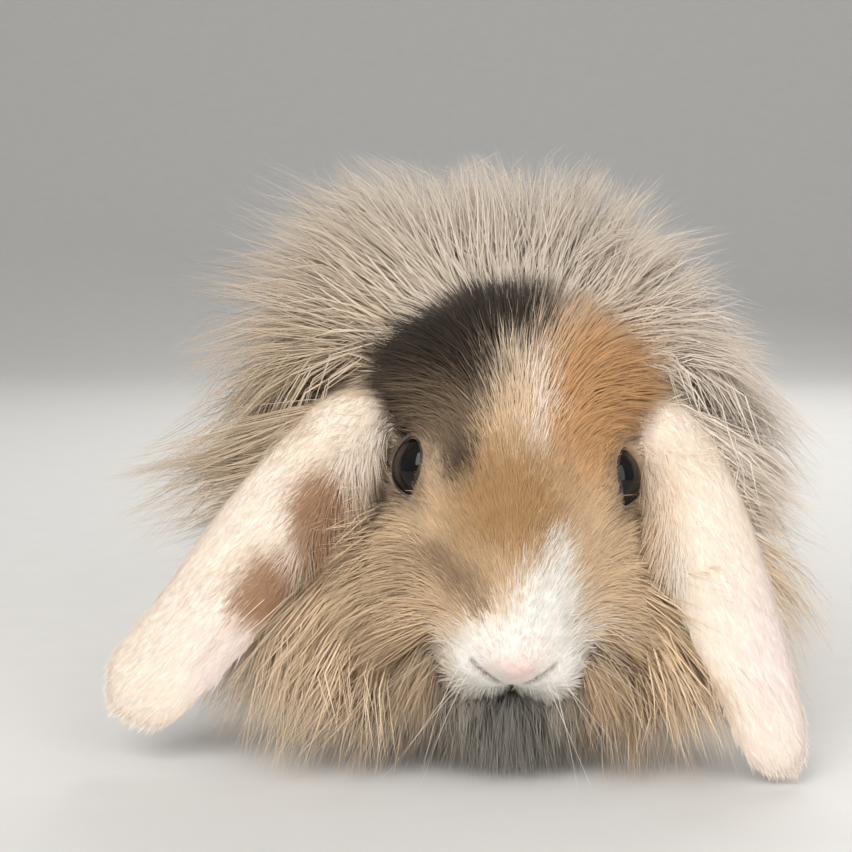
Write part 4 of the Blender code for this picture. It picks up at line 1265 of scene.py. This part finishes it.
# %% Whiskers
# place on the muzzle in head mm, way of the whisker in head mm, length in mm
WHISKER_PADS = ((9.0, 50.0, -9.0), (12.0, 47.5, -8.5), (12.5, 46.0, -11.5), (15.0, 43.0, -10.0), (14.5, 42.5, -13.5))
WHISKER_WAY, WHISKER_LENGTH = (0.62, 0.7, -0.3), (26.0, 46.0)
WHISKERS_EACH, WHISKER_WIDTH = 3, 0.12 * MM


def make_whiskers():
    chance = np.random.default_rng(51)
    tree = KDTree(len(places))
    for number, place in enumerate(places):
        tree.insert(place, number)
    tree.balance()
    starts, ways = [], []
    for sign in (1, -1):
        for pad in WHISKER_PADS:
            for _ in range(WHISKERS_EACH):
                x, y, z = np.array(pad) + chance.normal(0, 1.0, 3)
                starts.append(HEAD @ (Vector((sign * x, y, z)) * MM))
                way = np.array(WHISKER_WAY) + chance.normal(0, 0.22, 3)
                ways.append(HEAD.to_3x3() @ Vector((sign * way[0], way[1], way[2])))
    near = [tree.find(start)[1] for start in starts]
    root, out = places[near] - normals[near] * ROOT_SINK, unit(np.array(ways))
    length = chance.uniform(*WHISKER_LENGTH, len(root))[:, None] * MM
    control = root + 0.5 * length * unit(out + 0.7 * normals[near])
    tip = root + length * unit(out + np.array([0, 0.25, -0.2]))
    flat = np.zeros((len(places), 2))
    flat[corners.ravel()] = corner_maps.reshape(-1, 2)
    roots = {"map": flat[near], "place": places[near]}
    item = tuft_mesh("whiskers", keep_clear(bend(root, control, tip, 5)), roots, np.full(len(root), WHISKER_WIDTH),
                     chance.random(len(root)), normals[near])
    material, _, surface = new_material("whisker", Roughness=0.4)
    surface.inputs["Base Color"].default_value = paint(224, 214, 200)
    item.data.materials.append(material)
    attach(item, "root")


make_whiskers()

# %% [markdown]
# ## Claws
# Four short claws show at the front of each foot. Each is a cone whose rings are set along a curve that bends
# down to the floor.

# %% Claws
# side from the foot's middle, place along y, in mm, as the toes stand
FORE_CLAWS = ((-7.2, -76.0), (-2.6, -82.5), (2.5, -83.5), (7.2, -79.0))
HIND_CLAWS = ((-8.0, 14.5), (-2.8, 8.0), (2.9, 7.0), (8.4, 11.5))
FORE_SIDE, HIND_SIDE, HIND_SPLAY, HIND_HEEL = 23.0, 50.0, 0.07, 112.0
# way forward in mm, height in mm, radius in mm
CLAW_RINGS = ((0.0, 5.0, 1.35), (2.6, 5.0, 1.2), (4.8, 4.2, 0.85), (6.4, 2.9, 0.4), (7.0, 2.2, 0.1))
CLAW_SIDES = 10


def add_claw(data, x, y):
    rings = []
    for forward, height, radius in CLAW_RINGS:
        made = bmesh.ops.create_circle(data, segments=CLAW_SIDES, radius=radius * MM,
                                       matrix=Matrix.Translation(Vector((x, y - forward, height)) * MM)
                                       @ Matrix.Rotation(math.pi / 2, 4, "X"))
        rings.append(made["verts"])
    for one, two in zip(rings, rings[1:]):
        for i in range(CLAW_SIDES):
            j = (i + 1) % CLAW_SIDES
            data.faces.new((one[i], one[j], two[j], two[i]))
    for ring in (rings[0], rings[-1]):
        data.faces.new(ring)


def make_claws():
    data = bmesh.new()
    for sign in (1, -1):
        for side, y in FORE_CLAWS:
            add_claw(data, sign * (FORE_SIDE + side), y)
        for side, y in HIND_CLAWS:
            add_claw(data, sign * (HIND_SIDE + HIND_SPLAY * (HIND_HEEL - y) + side), y)
    bmesh.ops.recalc_face_normals(data, faces=data.faces)
    claws = place_object("claws", data)
    claws.data.shade_smooth()
    material, tree, surface = new_material("claw_horn", Roughness=0.35)
    place = add(tree, "TexCoord").outputs["Object"]
    streak = add(tree, "TexNoise", {"Vector": place, "Scale": 900.0, "Detail": 2.0}).outputs["Fac"]
    tint = add(tree, "Mix", {0: streak, 6: paint(120, 98, 80), 7: paint(178, 156, 134)}, data_type="RGBA")
    tree.links.new(tint.outputs[2], surface.inputs["Base Color"])
    claws.data.materials.append(material)
    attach(claws, "root")
    print("claws:", len(claws.data.polygons), "faces")


make_claws()

# %% [markdown]
# ## Floor and light
# A pale floor and three large soft lamps, as in a small studio. A big lamp close by gives the soft shadows
# that show fur best, and the pale world fills the rest.

# %% Floor, lights and world
# name, place in m, size in m, power in W
LAMPS = (("key", (-0.4, -1.0, 0.85), 0.9, 11.5), ("fill", (0.8, -0.95, 0.5), 1.0, 6.5),
         ("rim", (0.25, 0.85, 0.9), 0.8, 8.0))
LAMP_AIM = Vector((0, -0.03, 0.06))
COVE_HALF, COVE_FROM, COVE_RADIUS, COVE_STEPS = 30.0, 1.2, 1.4, 24


def make_floor():
    """A floor that curves up far behind the rabbit, so that no edge shows."""
    data = bmesh.new()
    turns = [math.radians(90 * i / COVE_STEPS) for i in range(COVE_STEPS + 1)]
    line = [(-COVE_HALF, 0.0)] + [(COVE_FROM + COVE_RADIUS * math.sin(t), COVE_RADIUS * (1 - math.cos(t)))
                                  for t in turns] + [(COVE_FROM + COVE_RADIUS, COVE_HALF)]
    verts = [data.verts.new((-COVE_HALF, y, z)) for y, z in line]
    chain = [data.edges.new(pair) for pair in zip(verts, verts[1:])]
    made = bmesh.ops.extrude_edge_only(data, edges=chain)["geom"]
    bmesh.ops.translate(data, verts=[item for item in made if isinstance(item, bmesh.types.BMVert)],
                        vec=(2 * COVE_HALF, 0, 0))
    bmesh.ops.recalc_face_normals(data, faces=data.faces)
    floor = place_object("floor", data)
    floor.data.shade_smooth()
    material, tree, surface = new_material("pale_floor", Roughness=0.7)
    place = add(tree, "TexCoord").outputs["Object"]
    grain = add(tree, "TexNoise", {"Vector": place, "Scale": 60.0, "Detail": 4.0}).outputs["Fac"]
    tint = add(tree, "Mix", {0: grain, 6: paint(216, 213, 208), 7: paint(223, 220, 216)}, data_type="RGBA")
    tree.links.new(tint.outputs[2], surface.inputs["Base Color"])
    floor.data.materials.append(material)
    floor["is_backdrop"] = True


def make_lamps():
    for name, place, size, power in LAMPS:
        lamp = bpy.data.lights.new(name, "AREA")
        lamp.energy, lamp.size = power, size
        item = bpy.data.objects.new(name, lamp)
        place = Vector(place)
        item.matrix_world = Matrix.Translation(place) @ (LAMP_AIM - place).to_track_quat("-Z", "Y").to_matrix().to_4x4()
        bpy.context.scene.collection.objects.link(item)


def make_world():
    world = bpy.data.worlds.new("soft_studio")
    world.use_nodes = True
    world.node_tree.nodes["Background"].inputs["Color"].default_value = (0.86, 0.88, 0.9, 1)
    world.node_tree.nodes["Background"].inputs["Strength"].default_value = 0.5
    bpy.context.scene.world = world


make_floor()
make_lamps()
make_world()
bpy.context.scene.view_settings.view_transform = "Standard"

# %% [markdown]
# ## Sizes
# The dressed rabbit has to keep the solids' size, so both boxes are printed side by side.

# %% Print the sizes
dressed_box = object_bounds()
for axis, low, high, cad_low, cad_high in zip("xyz", *dressed_box, *cad_box):
    print(axis, [round(v / MM, 1) for v in (low, high)], "solids", [round(v / MM, 1) for v in (cad_low, cad_high)])
